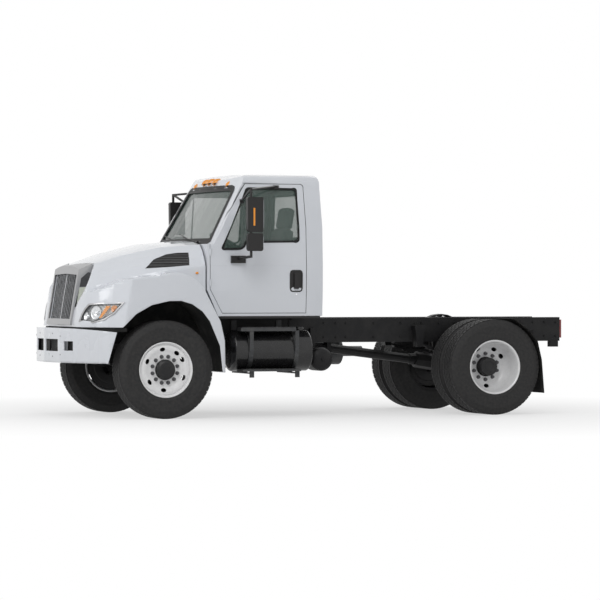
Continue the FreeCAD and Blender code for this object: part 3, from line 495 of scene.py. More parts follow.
def tyre(name, x, y, body, node):
    """A tyre carcass with grooved tread, raised blocks and rings on its side walls."""
    side = [(287, 114.5), (290, 119), (297, 120), (303, 126), (318, 129), (321, 131), (334, 133.5), (337, 132.5),
            (365, 136.5), (405, 139), (437, 138), (441, 139), (462, 136.5), (466, 134), (486, 129), (500, 124),
            (511, 118), (518, 108)]
    tread = []
    for groove in (62, 21):
        tread += [(519, groove + 6), (507, groove + 3), (507, groove - 3), (519, groove - 6)]
    half = side + tread
    profile = half + [(r, -w) for r, w in reversed(half)]
    bm = spun(profile, x, y, AXLE_Z, steps=72, loop=True)
    rows = ((74, 116, 0.0, 60, 0.86), (28, 56, 0.5, 60, 0.86), (-15, 15, 0.0, 60, 0.88), (-56, -28, 0.5, 60, 0.86),
            (-116, -74, 0.0, 60, 0.86))
    centre = at(x, y, AXLE_Z)
    for w0, w1, offset, count, fill in rows:
        width = 2 * math.pi * 0.519 / count * fill
        for i in range(count):
            turn = Matrix.Rotation(2 * math.pi * (i + offset) / count, 4, "Y")
            lift = Matrix.Translation((0.5125, (w0 + w1) / 2000.0, 0.0))
            size = Matrix.Diagonal((0.024, (w1 - w0) / 1000.0, width, 1.0))
            bmesh.ops.create_cube(bm, size=1.0, matrix=Matrix.Translation(centre) @ turn @ lift @ size)
    return piece(name, bm, RUBBER, body, (node,) if node else (), "tyre", 32.0, weighted=False)


def ovals(radius, angles, x, y0, y1):
    """Cutters for a wheel's hand holes."""
    bm = bmesh.new()
    for angle in angles:
        a = math.radians(angle)
        middle = Matrix.Translation(at(x - radius * math.cos(a), (y0 + y1) / 2, AXLE_Z + radius * math.sin(a)))
        lay = Matrix.Rotation(a, 4, "Y") @ Matrix.Diagonal((0.022, 1.0, 0.031, 1.0))
        bmesh.ops.create_cone(bm, cap_ends=True, segments=24, radius1=1.0, radius2=1.0, depth=(y1 - y0) / 1000.0,
                              matrix=middle @ lay @ Matrix.Rotation(math.pi / 2, 4, "X"))
    return outward(bm)


def nuts(count, circle, x, face, r, height):
    """A circle of six-sided nuts with a washer under each and the stud's end standing out."""
    bm = bmesh.new()
    for i in range(count):
        a = 2 * math.pi * (i + 0.5) / count
        px = x + circle * math.cos(a)
        pz = AXLE_Z + circle * math.sin(a)
        for radius, base, top, sides in ((r * 1.15, 0, 4, 16), (r, 4, height, 6),
                                         (r * 0.5, height, height + 9, 10)):
            peg(bm, (px, face + base, pz), (px, face + top, pz), radius, sides, radius * 0.94)
    return outward(bm)


def cap_bolts(count, phase, circle, x, y0, y1, r):
    """A ring of small bolt heads on a hub's cap."""
    bm = bmesh.new()
    for i in range(count):
        a = 2 * math.pi * (i + phase) / count
        px, pz = x + circle * math.cos(a), AXLE_Z + circle * math.sin(a)
        peg(bm, (px, y0, pz), (px, y1, pz), r, 6)
    return outward(bm)


def wheel_pieces(kind, side, body, node, shapes):
    """Finishes a left wheel's shapes on the side where they go; the disc stands for the rim."""
    name = "left" if side > 0 else "right"
    for part, bm, material in shapes:
        if side < 0:
            flipped(bm)
        owner = (node + name,) if part == "disc" else ()
        piece("%s_wheel_%s_%s" % (kind, part, name), bm, material, body + name, owner, "rim_white", 30.0)


def front_wheel(side):
    """One front wheel's disc with its hand holes, and its hub, nuts and cap."""
    y = FRONT_TYRE
    section = [(298, -126.5), (298, -114.5), (287, -112), (287, 112), (298, 114.5), (298, 126.5), (291, 127.5),
               (280, 118), (275, 100), (273, 92), (266, 98), (252, 104), (236, 106), (218, 102), (196, 91),
               (178, 84.5), (108, 84), (108, 70), (178, 70.5), (198, 79), (218, 88), (236, 92), (254, 88),
               (270, 78), (275, 70),
               (275, -112), (280, -122), (291, -127.5)]
    disc = spun(section, 0, y, AXLE_Z, steps=80, loop=True)
    disc = carved(disc, ovals(218, (98, 54, 30, -23, -95, -143, 156), 0, y + 40, y + 130))
    hub = spun([(0, -60), (100, -60), (105, -50), (105, 86), (110, 88), (110, 98), (104, 104), (103, 128), (99, 134),
                (84, 141), (84, 143), (78, 147.5), (40, 147.5), (38, 145), (0, 145)], 0, y, AXLE_Z, steps=48)
    hub = carved(hub, peg(bmesh.new(), (0, y - 80, AXLE_Z), (0, y + 137, AXLE_Z), 36.4, 32))
    wheel_pieces("front", side, "wheel_front_", "rim_front_", [
        ("disc", disc, RIM_PAINT), ("hub", hub, HUB_BLACK), ("nuts", nuts(12, 143, 0, y + 84, 19, 24), NUT_STEEL),
        ("cap_bolts", cap_bolts(5, 0, 70, 0, y + 143, y + 147.8, 7), HUB_BLACK)])


def rear_wheel(side):
    """A pair of twin discs, one turned against the other, with their hub, nuts and cap."""
    y1, y2 = REAR_TYRES
    mid = (y1 + y2) / 2
    outer = [(298, y1 - 126.5), (298, y1 - 114.5), (287, y1 - 112), (287, y1 + 112), (298, y1 + 114.5),
             (298, y1 + 126.5), (291, y1 + 127.5), (280, y1 + 118), (275, y1 + 100), (274, y1 - 50), (262, mid + 84),
             (240, mid + 52), (212, mid + 31), (190, mid + 20), (175, mid + 16), (98, mid + 15), (98, mid + 1),
             (176, mid + 1), (196, mid + 5), (215, mid + 14), (240, mid + 34), (262, mid + 66), (275, y1 - 74),
             (275, y1 - 114), (291, y1 - 127.5)]
    inner = [(r, 2 * mid - w) for r, w in outer]
    hub = [(0, mid - 150), (100, mid - 150), (104, mid - 144), (104, mid + 16), (108, mid + 18), (108, mid + 30),
           (101, mid + 34), (97, mid + 40), (96, mid + 108), (100, mid + 112), (100, mid + 120), (92, mid + 126),
           (60, mid + 127.5), (56, mid + 124), (0, mid + 124)]
    front, back = (spun([(r, w - mid) for r, w in rows], REAR, mid, AXLE_Z, steps=80, loop=True)
                   for rows in (outer, inner))
    angles = (117, 63, 32, -88, -138)
    front = carved(front, ovals(212, angles, REAR, mid - 10, mid + 110))
    back = carved(back, ovals(212, angles, REAR, mid - 110, mid + 10))
    middle = spun([(r, w - mid) for r, w in hub], REAR, mid, AXLE_Z, steps=48)
    middle = carved(middle, peg(bmesh.new(), (REAR, mid - 170, AXLE_Z), (REAR, mid + 111, AXLE_Z), 46.4, 32))
    # The inner disc takes the black hub finish as painted shade; the real disc is white like the outer one.
    wheel_pieces("rear", side, "wheels_rear_", "rims_rear_", [
        ("disc", front, RIM_PAINT), ("inner_disc", back, HUB_BLACK), ("hub", middle, HUB_BLACK),
        ("nuts", nuts(10, 143, REAR, mid + 16, 19, 26), NUT_STEEL),
        ("cap_bolts", cap_bolts(8, 0.5, 76, REAR, mid + 124, mid + 127.8, 8), HUB_BLACK)])


def drums():
    """Brake drums inside the rear wheels and behind the front ones, each with a wide dark disc on its inner side as
    painted shade inside the wheel.
    """
    for side, name in SIDES:
        for x, y, r, body in ((0, side * 945, 206, "wheel_front_"), (REAR, side * 770, 214, "wheels_rear_")):
            drum = spun([(110, -52), (r - 8, -52), (r, -46), (r, -20), (r - 6, -17), (r - 6, -9), (r, -6), (r, 40),
                         (r - 12, 50), (110, 50)], x, y, AXLE_Z, steps=56, loop=True)
            back = -side * 46
            # A dark disc nearly as wide as the rim, inside the wheel: painted shade.
            shade_disc = spun([(100, back), (262, back), (266, back + side * 6), (262, back + side * 3),
                           (100, back + side * 4)], x, y, AXLE_Z, steps=56, loop=True)
            joined(drum, shade_disc)
            piece("brake_drum_%s%s" % (body[6:], name), drum, HUB_BLACK, body + name, (), "rim_white", 30.0)


def wheels():
    for side, name in SIDES:
        tyre("front_tyre_" + name, 0, side * FRONT_TYRE, "wheel_front_" + name, "tyre_front_" + name)
        for i, y in enumerate(REAR_TYRES):
            tyre("rear_tyre_%s_%s" % ("outer" if i == 0 else "inner", name), REAR, side * y, "wheels_rear_" + name,
                 "tyres_rear_" + name if i == 0 else None)
        front_wheel(side)
        rear_wheel(side)


# Hood and nose

def plan_x(y, z):
    """The hood front's place at a width and height."""
    y = abs(y)
    if y < NOSE_FLAT:
        x = NOSE_X - 8 * y / NOSE_FLAT
    else:
        x = NOSE_ARC_X + math.sqrt(max(0.0, NOSE_ARC_R ** 2 - (y - NOSE_ARC_Y) ** 2))
    return x - NOSE_LEAN * (z - NOSE_LOW)


def facing(y):
    """Which way the hood front looks at a width."""
    slope = (plan_x(y + 2, 1100) - plan_x(y - 2, 1100)) / 4
    return Vector((1.0, -slope, NOSE_LEAN)).normalized()


def bowed(bm):
    """Draws the bumper's run back between its middle and its ends, as its plan curves."""
    bow = ((0, 0), (450, 9), (495, 12), (560, 22), (650, 44), (745, 60), (935, 54), (1075, 38), (1192, 0))
    for v in bm.verts:
        y = abs(v.co.y) * 1000.0
        for (y0, d0), (y1, d1) in zip(bow, bow[1:]):
            if y0 <= y <= y1 and v.co.x * 1000.0 - SHIFT > 470:
                v.co.x -= (d0 + (d1 - d0) * (y - y0) / (y1 - y0)) / 1000.0
                break
    return bm


def rounded_nose(bm):
    """Lays the front's coarse arcs on their true curve."""
    for v in bm.verts:
        x, y, z = v.co.x * 1000.0 - SHIFT, abs(v.co.y) * 1000.0, v.co.z * 1000.0
        if 545 < y < 1040 and z < 1300 and abs(x - plan_x(y, z)) < 9.5:
            v.co.x = (plan_x(y, z) + SHIFT) / 1000.0
    return bm


def panels():
    """The painted skins, the mirrors, the frame round the grille and the plates beside it."""
    piece("hood_skin", rounded_nose(netted("hood", 0.046)), PAINT, "hood", ("hood",), sharp=42.0)
    lined_copy("cab_shell", "chassis", (-1150, 0, 1850))
    bumper = bowed(netted("front_bumper", 0.05))
    piece("front_bumper_skin", bumper, PAINT, "chassis", ("front_bumper",), sharp=33.0)
    for name in ("left", "right"):
        lined_copy("door_" + name, "door_" + name, (-1150, 0, 1750))
        mirror = copied("door_mirror_" + name)
        for v in mirror.verts:
            v.co.y = max(-1.3965, min(1.3965, v.co.y))
        piece("door_mirror_%s_skin" % name, mirror, PLASTIC, "door_" + name, ("door_mirror_" + name,),
              sharp=40.0, soften=6.0)
    piece("nose_frame", copied("grille_surround"), SATIN, "hood", ("grille_surround",), "chrome", 40.0, soften=3.0)
    # The cheek plates beside the grille carry painted reflections, dark above and pale greenish below.
    for side, name in SIDES:
        y = side * 463.2
        for part, material, points in (
                ("upper", CHEEK_DARK_REFLECTION, [(plan_x(455, 1405) - 20, 1405), (plan_x(455, 1500) - 22, 1500), (665, 1565),
                                       (628, 1560), (640, 1502), (672, 1412)]),
                ("lower", CHEEK_PALE_REFLECTION, [(plan_x(455, 1195) - 16, 1195), (plan_x(455, 1400) - 20, 1400), (677, 1407),
                                       (812, 1192)])):
            cheek = bmesh.new()
            plate(cheek, [(x, y, z) for x, z in points], (0, side * 1.5, 0))
            piece("cheek_%s_%s" % (part, name), outward(cheek), material, "hood", (), "chrome", soften=0.6)


def nose():
    """A dark mesh behind the grille, the thin upright bars, a dark seal under the front's lower edge and the lamps.
    """
    backing = bmesh.new()
    outline = [(plan_x(0, z) - 34, y, z) for y, z in ((-440, 1040), (440, 1040), (440, 1545), (-440, 1545))]
    plate(backing, outline, (-6, 0, 0))
    piece("grille_mesh", outward(backing), MESH, "hood")
    bars = bmesh.new()
    for i in range(-7, 8):
        y = i * 56
        wide = 20 if i == 0 else 8
        for w, deep in ((wide / 2, 6), (wide / 2 - 2, 10)):
            foot = [(plan_x(y, 1062) - 10, y - w, 1062), (plan_x(y, 1062) - 10, y + w, 1062)]
            head = [(plan_x(y, 1541) - 10, y + w, 1541), (plan_x(y, 1541) - 10, y - w, 1541)]
            plate(bars, foot + head, (deep, 0, 0))
    piece("grille_slats", outward(bars), CHROME, "hood", ("grille_bars",), sharp=30.0)
    under = bmesh.new()
    edge = [(plan_x(y, 978) - 26, y) for y in range(-1100, 1101, 100)]
    plate(under, [(x, y, 932) for x, y in edge] + [(420, 1100, 932), (420, -1100, 932)], (0, 0, 38))
    piece("nose_gap_seal", outward(under), SEAL)
    for side, name in SIDES:
        lamp(side, name)


def bumper_backs():
    """Dark boxes behind the bumper's slots as painted shade inside them, and its row of small fixings."""
    backs = bmesh.new()
    for side in (1, -1):
        # Black boxes that stand for the shade inside the slots.
        slab(backs, 935, 950, side * 30, side * 415, 704, 858)
        slab(backs, 895, 910, side * 530, side * 710, 716, 838)
    piece("bumper_slot_shade_boxes", bowed(outward(backs)), MESH, slot="mirror_black")
    heads = bmesh.new()
    find = skin_of("front_bumper")
    for side in (1, -1):
        for y, z in ((470, 880), (470, 680), (250, 905), (250, 660)):
            x = find(side * y, z)
            if x:
                peg(heads, (x - 3, side * y, z), (x + 2.5, side * y, z), 8, 14, 6)
    piece("bumper_fixings", bowed(outward(heads)), NUT_STEEL, slot="mirror_black")


def arch_liners():
    """Black liners inside the front wheel arches."""
    arc = [(480, 985), (400, 1085), (265, 1190), (120, 1250), (-27, 1275), (-170, 1270), (-290, 1240), (-390, 1160),
           (-470, 1060), (-545, 930), (-600, 800), (-640, 500)]
    for side, name in SIDES:
        bm = bmesh.new()
        verts = [bm.verts.new(at(x, side * 640, z)) for x, z in arc]
        edges = [bm.edges.new(pair) for pair in zip(verts, verts[1:])]
        drawn = bmesh.ops.extrude_edge_only(bm, edges=edges)["geom"]
        moved = [g for g in drawn if isinstance(g, bmesh.types.BMVert)]
        bmesh.ops.translate(bm, vec=(0, side * 0.535, 0), verts=moved)
        bmesh.ops.recalc_face_normals(bm, faces=bm.faces)
        bmesh.ops.solidify(bm, geom=bm.faces[:], thickness=0.004)
        plate(bm, [(x, side * 640, z) for x, z in arc[:-2]], (0, side * 4, 0))
        piece("arch_liner_" + name, outward(bm), MUD_RUBBER, "hood", (), "mirror_black", 60.0)


def lamp(side, name):
    """One head lamp: a clear cover, the bright bowl behind it and its three reflectors."""
    bowl = copied("headlamps")
    far = [v for v in bowl.verts if v.co.y * side < 0]
    bmesh.ops.delete(bowl, geom=far, context="VERTS")
    cover = bowl.copy()
    push = facing(950)
    push.y *= side
    bmesh.ops.translate(bowl, vec=-push * 0.040, verts=bowl.verts)
    piece("lamp_back_" + name, bowl, LAMP_PALE, "hood", (), "chrome")
    owner = ("headlamps",) if side > 0 else ()
    piece("lamp_cover_" + name, cover, LAMP_GLASS, "hood", owner, "lamp_clear", 30.0)
    for part, y, z, r, deep, material in (("main", 925, 1137, 62, 20, LAMP_BOWL),
                                         ("low", 800, 1100, 46, 16, LAMP_BOWL),
                                         ("turn", 1102, 1176, 34, 12, AMBER),
                                         ("side", 1150, 1203, 17, 8, AMBER)):
        n = facing(y)
        n.y *= side
        middle = at(plan_x(y, z), side * y, z) - n * 0.017
        turn = n.to_track_quat("Z", "Y").to_matrix().to_4x4()
        ring = bmesh.new()
        profile = [(0, -deep), (r * 0.35, -deep * 0.92), (r * 0.7, -deep * 0.6), (r, 0), (r * 1.12, 1.5),
                   (r * 1.12, -3), (r * 0.98, -3.5), (r * 0.7, -deep * 0.7 - 3), (0, -deep - 4)]
        verts = [ring.verts.new((a / 1000.0, 0, b / 1000.0)) for a, b in profile]
        edges = [ring.edges.new(pair) for pair in zip(verts, verts[1:])]
        bmesh.ops.spin(ring, geom=verts + edges, cent=(0, 0, 0), axis=(0, 0, 1), angle=2 * math.pi, steps=32,
                       use_merge=True)
        bulb = bmesh.ops.create_uvsphere(ring, u_segments=12, v_segments=8, radius=r / 3400.0)["verts"]
        bmesh.ops.translate(ring, vec=(0, 0, -deep * 0.4 / 1000.0), verts=bulb)
        bmesh.ops.transform(ring, matrix=Matrix.Translation(middle) @ turn, verts=ring.verts)
        piece("lamp_%s_%s" % (part, name), outward(ring), material, "hood", (), "chrome", 40.0)
    bar = bmesh.new()
    lines = []
    for y, z, wide in ((984, 1077, 13), (1046, 1205, 20)):
        n = facing(y)
        for w in (-wide, wide):
            lines.append((plan_x(y + w, z) - 14, side * (y + w), z))
    plate(bar, [lines[0], lines[1], lines[3], lines[2]], (6, 4 * side, 0))
    piece("lamp_turn_bar_" + name, outward(bar), AMBER, "hood", soften=2.0)
    shell = bmesh.new()
    rim = [(917, 1052), (893, 1110), (858, 1165), (815, 1210), (688, 1222), (437, 1230), (533, 1136), (644, 1072),
           (766, 1041)]
    loops = []
    for grow in (-5, 2, 20):
        loop = []
        for px, pz in inset_loop(rim, -grow):
            y = 1000.0
            for _ in range(30):
                y += (plan_x(y, pz) - (px + 0.359 * (y - 1000))) * 0.4
                y = min(max(y, 560), 1189)
            loop.append((px + 0.359 * (y - 1000) + 1.5, side * (y + 1.0), pz))
        loops.append(loop)
    band(shell, loops[1], loops[2], (5 * push.x, 5 * push.y, 0))
    piece("lamp_bezel_" + name, shell, SATIN, "hood", (), "chrome", soften=2.0)
    line = bmesh.new()
    band(line, loops[0], loops[1], (3 * push.x, 3 * push.y, 0))
    piece("lamp_seal_" + name, line, SEAL, "hood")


def hood_vents():
    """Raised slats across each black intake."""
    for side, name in SIDES:
        slats = bmesh.new()
        for z in (1640, 1668, 1696, 1724, 1750):
            part = copied("hood_vents")
            bmesh.ops.delete(part, geom=[v for v in part.verts if v.co.y * side < 0], context="VERTS")
            for level, up in ((z - 5, -1), (z + 5, 1)):
                geom = part.verts[:] + part.edges[:] + part.faces[:]
                bmesh.ops.bisect_plane(part, geom=geom, dist=1e-6, plane_co=at(0, 0, level), plane_no=(0, 0, up),
                                       clear_outer=True)
                bmesh.ops.holes_fill(part, edges=[e for e in part.edges if e.is_boundary], sides=0)
            bmesh.ops.translate(part, vec=(0, 0.006 * side, 0), verts=part.verts)
            joined(slats, part)
        # The slats take a lighter colour than the black intake they are cut from: a painted highlight.
        piece("vent_slats_" + name, slats, SLAT_PAINTED_HIGHLIGHT, "hood", (), "vent_black", 30.0)


# Cab

def side_y(z):
    """The cab side's place at a height; it is widest at the belt line."""
    if z <= BELT:
        t = (z - BELT) / 541.0
        return CAB_HALF - 20 * t * t
    t = (z - BELT) / 840.0
    return CAB_HALF - 112 * t * t + 12 * t * (1 - t) - 4 * t * (1 - t)


def screen_x(y, z):
    """The windscreen's place at a width and height."""
    t = (z - 1884) / 648.0
    return -491 - 372 * t - (y * y) / 12000.0 * 1.15


WINDOW = [(-672, 1836), (-675, 1815), (-690, 1804), (-706, 1803), (-850, 1804), (-900, 1812), (-935, 1838),
          (-955, 1880), (-1494, 1888), (-1540, 1898), (-1562, 1934), (-1562, 2435), (-1550, 2464), (-1514, 2478),
          (-1020, 2484), (-990, 2474), (-962, 2436)]
SCREEN = [(-875, 1912), (-850, 1899), (-800, 1896), (-400, 1896), (0, 1896), (400, 1896), (800, 1896), (850, 1899),
          (875, 1912), (830, 2170), (780, 2440), (755, 2468), (700, 2480), (350, 2480), (0, 2480), (-350, 2480),
          (-700, 2480), (-755, 2468), (-780, 2440), (-830, 2170)]
BACK = [(-560, 1932), (0, 1932), (560, 1932), (600, 1972), (570, 2392), (540, 2432), (0, 2432), (-540, 2432),
        (-570, 2392), (-600, 1972)]


def seals():
    """Rubber round each window and behind the door gaps, the doors' creases and the posts in their windows."""
    wide = bmesh.new()
    for rows, push in ((((34, -6), (-2, -6)), (3.5, 0, 2)), (((4, -3), (-30, 1.5)), (3.0, 0, 1.5))):
        loops = [[(screen_x(y, z) + lift, y, z) for y, z in inset_loop(SCREEN, by)] for by, lift in rows]
        band(wide, loops[0], loops[1], push)
    piece("screen_seal", wide, SEAL)
    rear = bmesh.new()
    loops = [[(-1822, y, z) for y, z in inset_loop(BACK, by)] for by in (24, -1)]
    band(rear, loops[0], loops[1], (-3, 0, 0))
    piece("rear_window_seal", rear, SEAL)
    for side, name in SIDES:
        bm = bmesh.new()
        loops = [[(x, side * (side_y(z) - 9), z) for x, z in inset_loop(WINDOW, by)] for by in (20, -1)]
        band(bm, loops[0], loops[1], (0, side * 10, 0))
        piece("door_window_seal_" + name, bm, SEAL, "door_" + name)
        gap = bmesh.new()
        path = [(-536, 1850), (-536, 1384), (-677, 1121), (-1638, 1121)] \
            + [(-1638, z) for z in (1400, 1632, 1850, 2070, 2290, 2500)]
        for (xa, za), (xb, zb) in zip(path, path[1:]):
            run = math.hypot(xb - xa, zb - za)
            across, up = 5 * (zb - za) / run, -5 * (xb - xa) / run
            ends = ((xa, za, 1), (xb, zb, 1), (xb, zb, -1), (xa, za, -1))
            corners = [(x + t * across, side * (side_y(z) - 36), z + t * up) for x, z, t in ends]
            plate(gap, corners, (0, side * 18, 0))
        piece("door_gap_seal_" + name, outward(gap), SEAL)
        boxes("door_crease_" + name, PAINT, (-1480, -548, side * (CAB_HALF - 4), side * (CAB_HALF + 1.6), 1633, 1643),
              body="door_" + name, soften=1.2)
        post = bmesh.new()
        peg(post, (-975, side * (side_y(1880) - 14), 1884), (-975, side * (side_y(2470) - 14), 2470), 9, 8)
        piece("window_post_" + name, outward(post), SEAL, "door_" + name)


def wipers():
    """Two arms from the screen's foot, each with its blade."""
    bm = bmesh.new()
    for y0, y1 in ((620, 60), (-80, -640)):
        low = (screen_x(y0, 1880) + 10, y0, 1890)
        high = (screen_x(y1 + 60, 1955) + 16, y1 + 60, 1950)
        peg(bm, low, high, 6, 8, 4)
        tip0 = (screen_x(y1 + 260, 1930) + 10, y1 + 290, 1922)
        tip1 = (screen_x(y1, 1985) + 10, y1 - 120, 1985)
        peg(bm, tip0, tip1, 5, 6)
        peg(bm, (low[0] - 20, y0, 1880), (low[0] + 6, y0, 1896), 17, 12)
    piece("wipers", outward(bm), PLASTIC)


def door_fittings():
    """Handle, lock, mirror faces, mirror lamp and inner lining of each door."""
    for side, name in SIDES:
        body = "door_" + name
        cup = bmesh.new()
        x0, x1, z0, z1 = -1593, -1444, 1351, 1590
        loop = [(x0 + 30, z0), (x1 - 30, z0), (x1 - 8, z0 + 12), (x1, z0 + 40), (x1, z1 - 40), (x1 - 8, z1 - 12),
                (x1 - 30, z1), (x0 + 30, z1), (x0 + 8, z1 - 12), (x0, z1 - 40), (x0, z0 + 40), (x0 + 8, z0 + 12)]
        band(cup, [(x, side * (side_y(z) - 1), z) for x, z in inset_loop(loop, 14)],
             [(x, side * (side_y(z) - 1), z) for x, z in loop], (0, side * 7, 0))
        plate(cup, [(x, side * (side_y(z) - 2), z) for x, z in inset_loop(loop, 13)], (0, side * 4, 0))
        slab(cup, x0 + 48, x1 - 48, side * (CAB_HALF - 3), side * (CAB_HALF + 20), z0 + 34, z1 - 34)
        piece("door_handle_" + name, outward(cup), PLASTIC, body, soften=2.0)
        key = bmesh.new()
        peg(key, (-1519, side * (CAB_HALF - 4), 1325), (-1519, side * (CAB_HALF + 3), 1325), 11, 20)
        piece("door_lock_" + name, outward(key), CHROME, body, soften=0.8)
        glass = bmesh.new()
        slab(glass, -1016, -1013, side * 1335, side * 1395, 2030, 2330)
        slab(glass, -1014, -1011, side * 1340, side * 1390, 1822, 1950)
        piece("mirror_faces_" + name, outward(glass), MIRROR, body, (), "chrome", soften=0.8)
        boxes("mirror_lamp_" + name, AMBER, (-918, -898, side * 1392, side * 1399.5, 2060, 2250), body=body,
              soften=2.0)
        boxes("door_lining_" + name, CABIN,
              (-1600, -720, side * 930, side * 962, 1180, 1780),
              (-1450, -1100, side * 900, side * 940, 1560, 1600), body=body, soften=12.0)


def dome(bm, place, half, sides, turn=None):
    """An egg-shaped lamp about a place, of given half sizes in metres."""
    ball = bmesh.ops.create_uvsphere(bm, u_segments=sides, v_segments=sides // 2 + 2, radius=1.0)["verts"]
    shape = Matrix.Translation(at(*place)) @ (turn or Matrix()) @ Matrix.Diagonal(half + (1,))
    bmesh.ops.transform(bm, matrix=shape, verts=ball)


def cab_fittings():
    """Sills, the stub on the roof, the roof lamps and the hood's side markers."""
    sill = bmesh.new()
    for side in (1, -1):
        slab(sill, -1800, -660, side * 880, side * 1000, 1066, 1093)
    slab(sill, -1815, -640, -880, 880, 1078, 1092)
    piece("cab_sills", outward(sill), PLASTIC, soften=4.0)
    boxes("roof_stub", PLASTIC, (-1362, -1312, -22, 22, 2636, 2648), soften=3.0)
    domes = bmesh.new()
    lean = Matrix.Rotation(0.16, 4, "Y")
    for i, lamp_y in enumerate((-560, -180, 0, 180, 560)):
        x = -893 - 0.00009 * lamp_y ** 2
        z = 2562 - 0.00012 * lamp_y ** 2
        boxes("roof_lamp_base_%d" % i, PLASTIC,
              (x - 72, x + 54, lamp_y - 38, lamp_y + 38, z - 20, z - 6, lean), soften=3.0)
        dome(domes, (x - 8, lamp_y, z - 8), (0.066, 0.040, 0.045), 28, lean)
    piece("roof_lamp_domes", domes, AMBER, "chassis", ("roof_lamps",), sharp=60.0)
    for side, name in SIDES:
        light = bmesh.new()
        dome(light, (-394, side * 1004, 1556), (0.019, 0.012, 0.012), 20)
        piece("side_marker_" + name, light, AMBER, "hood", sharp=60.0)


def lining():
    """The headliner with its side rails, the floor mat and the inner covers of the posts."""
    head = bmesh.new()
    slab(head, -1770, -930, -838, 838, 2452, 2468)
    for side in (1, -1):
        slab(head, -1770, -940, side * 790, side * 840, 2404, 2466)
        slab(head, -1770, -1700, side * 620, side * 835, 1180, 2460)
    slab(head, -1775, -1740, -838, 838, 2436, 2465)
    slab(head, -1775, -1740, -880, 880, 1140, 1915)
    piece("headliner", outward(head), CABIN, soften=9.0)
    boxes("floor_mat", SEAL, (-1740, -700, -900, 900, 1138, 1146), soften=2.0)


def interior():
    """Steering wheel, dashboard and gauges."""
    turns = [math.radians(a) for a in range(0, 360, 30)]
    wheel = spun([(14 * math.cos(a) + 216, 14 * math.sin(a)) for a in turns], 0, 0, 0, steps=48, loop=True)
    for angle in (90, 210, 330):
        a = math.radians(angle)
        peg(wheel, (20 * math.cos(a), 0, 20 * math.sin(a)), (208 * math.cos(a), -6, 208 * math.sin(a)), 13, 10, 8)
    peg(wheel, (0, -22, 0), (0, 12, 0), 62, 24, 54)
    peg(wheel, (0, 8, 0), (0, 235, 0), 30, 16)
    home = Matrix.Translation(at(-916, 480, 1868)) @ Matrix.Rotation(math.radians(-32), 4, "Y") \
        @ Matrix.Rotation(math.radians(-90), 4, "X") @ Matrix.Translation(-at(0, 0, 0))
    bmesh.ops.transform(wheel, matrix=home, verts=wheel.verts)
    piece("steering_wheel_ring", outward(wheel), CABIN, "chassis", ("steering_wheel",), sharp=40.0)
    piece("dashboard_skin", copied("dashboard"), CABIN, "chassis", ("dashboard",), sharp=33.0, soften=10.0)
    hood = bmesh.new()
    slab(hood, -790, -700, 320, 640, 1800, 1862)
    for y in (400, 480, 560):
        peg(hood, (-788, y, 1828), (-796, y, 1828), 26, 20)
    piece("gauge_pod", outward(hood), CABIN, soften=8.0)


def cushion(name, x, y, z, size, turn):
    """A crowned pad with a sewn channel pattern, puffed by a short cloth run."""
    bm = bmesh.new()
    bmesh.ops.create_cube(bm, size=1.0)
    bmesh.ops.subdivide_edges(bm, edges=bm.edges, cuts=9, use_grid_fill=True)
    sx, sy, sz = (s / 1000.0 for s in size)
    for v in bm.verts:
        u, w, t = v.co.x * 2, v.co.y * 2, v.co.z * 2
        crown = (1 - abs(u) ** 3) * (1 - abs(w) ** 3)
        pinch = 1 - 0.03 * (abs(u) * abs(w)) ** 2
        v.co = Vector((u * sx / 2 * pinch, w * sy / 2 * pinch, t * sz / 2 * (0.80 + 0.20 * crown)))
    for v in bm.verts:
        channel = math.cos(v.co.y / sy * 2 * math.pi * 3.0)
        if channel > 0.92 and abs(v.co.y) < sy * 0.42 and abs(v.co.x) < sx * 0.42:
            v.co.z *= 0.94
    place = Matrix.Translation(at(x, y, z)) @ Matrix.Rotation(math.radians(turn), 4, "Y")
    bmesh.ops.transform(bm, matrix=place, verts=bm.verts)
    made = piece(name, outward(bm), CLOTH, sharp=180.0, weighted=False)
    puff(made, 0.010)
    even = made.modifiers.new("rounding", "SUBSURF")
    even.levels = 1
    even.render_levels = 1
    return made


def puff(made, cap):
    """Swells a pad with air pressure for twenty frames, and keeps how far each point moved within a cap."""
    start = [v.co.copy() for v in made.data.vertices]
    cloth = made.modifiers.new("air", "CLOTH")
    cloth.settings.use_pressure = True
    cloth.settings.uniform_pressure_force = 4.0
    cloth.settings.effector_weights.gravity = 0.0
    cloth.settings.quality = 6
    scene = bpy.context.scene
    for step in range(1, 21):
        scene.frame_set(step)
    graph = bpy.context.evaluated_depsgraph_get()
    shaped = made.evaluated_get(graph).data
    moved = [v.co.copy() for v in shaped.vertices]
    made.modifiers.remove(cloth)
    scene.frame_set(1)
    if len(moved) == len(start):
        for vertex, a, b in zip(made.data.vertices, start, moved):
            shift = b - a
            if shift.length > cap:
                shift = shift.normalized() * cap
            vertex.co = a + shift


def seats():
    for side, name in SIDES:
        y = 480 * side
        first = cushion("seat_cushion_" + name, -1218, y, 1514, (462, 470, 116), 2)
        cushion("seat_back_" + name, -1520, y, 1822, (108, 450, 500), -10)
        cushion("headrest_" + name, -1582, y, 2150, (96, 290, 260), -10)
        if side > 0:
            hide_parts("seats")
        base = bmesh.new()
        slab(base, -1420, -1040, y - 180, y + 180, 1136, 1452)
        slab(base, -1440, -1020, y - 200, y + 200, 1140, 1165)
        for dy in (-50, 50):
            peg(base, (-1560, y + dy, 2050), (-1584, y + dy, 2150), 7, 10)
        piece("seat_base_" + name, outward(base), CABIN, soften=8.0)


# Chassis

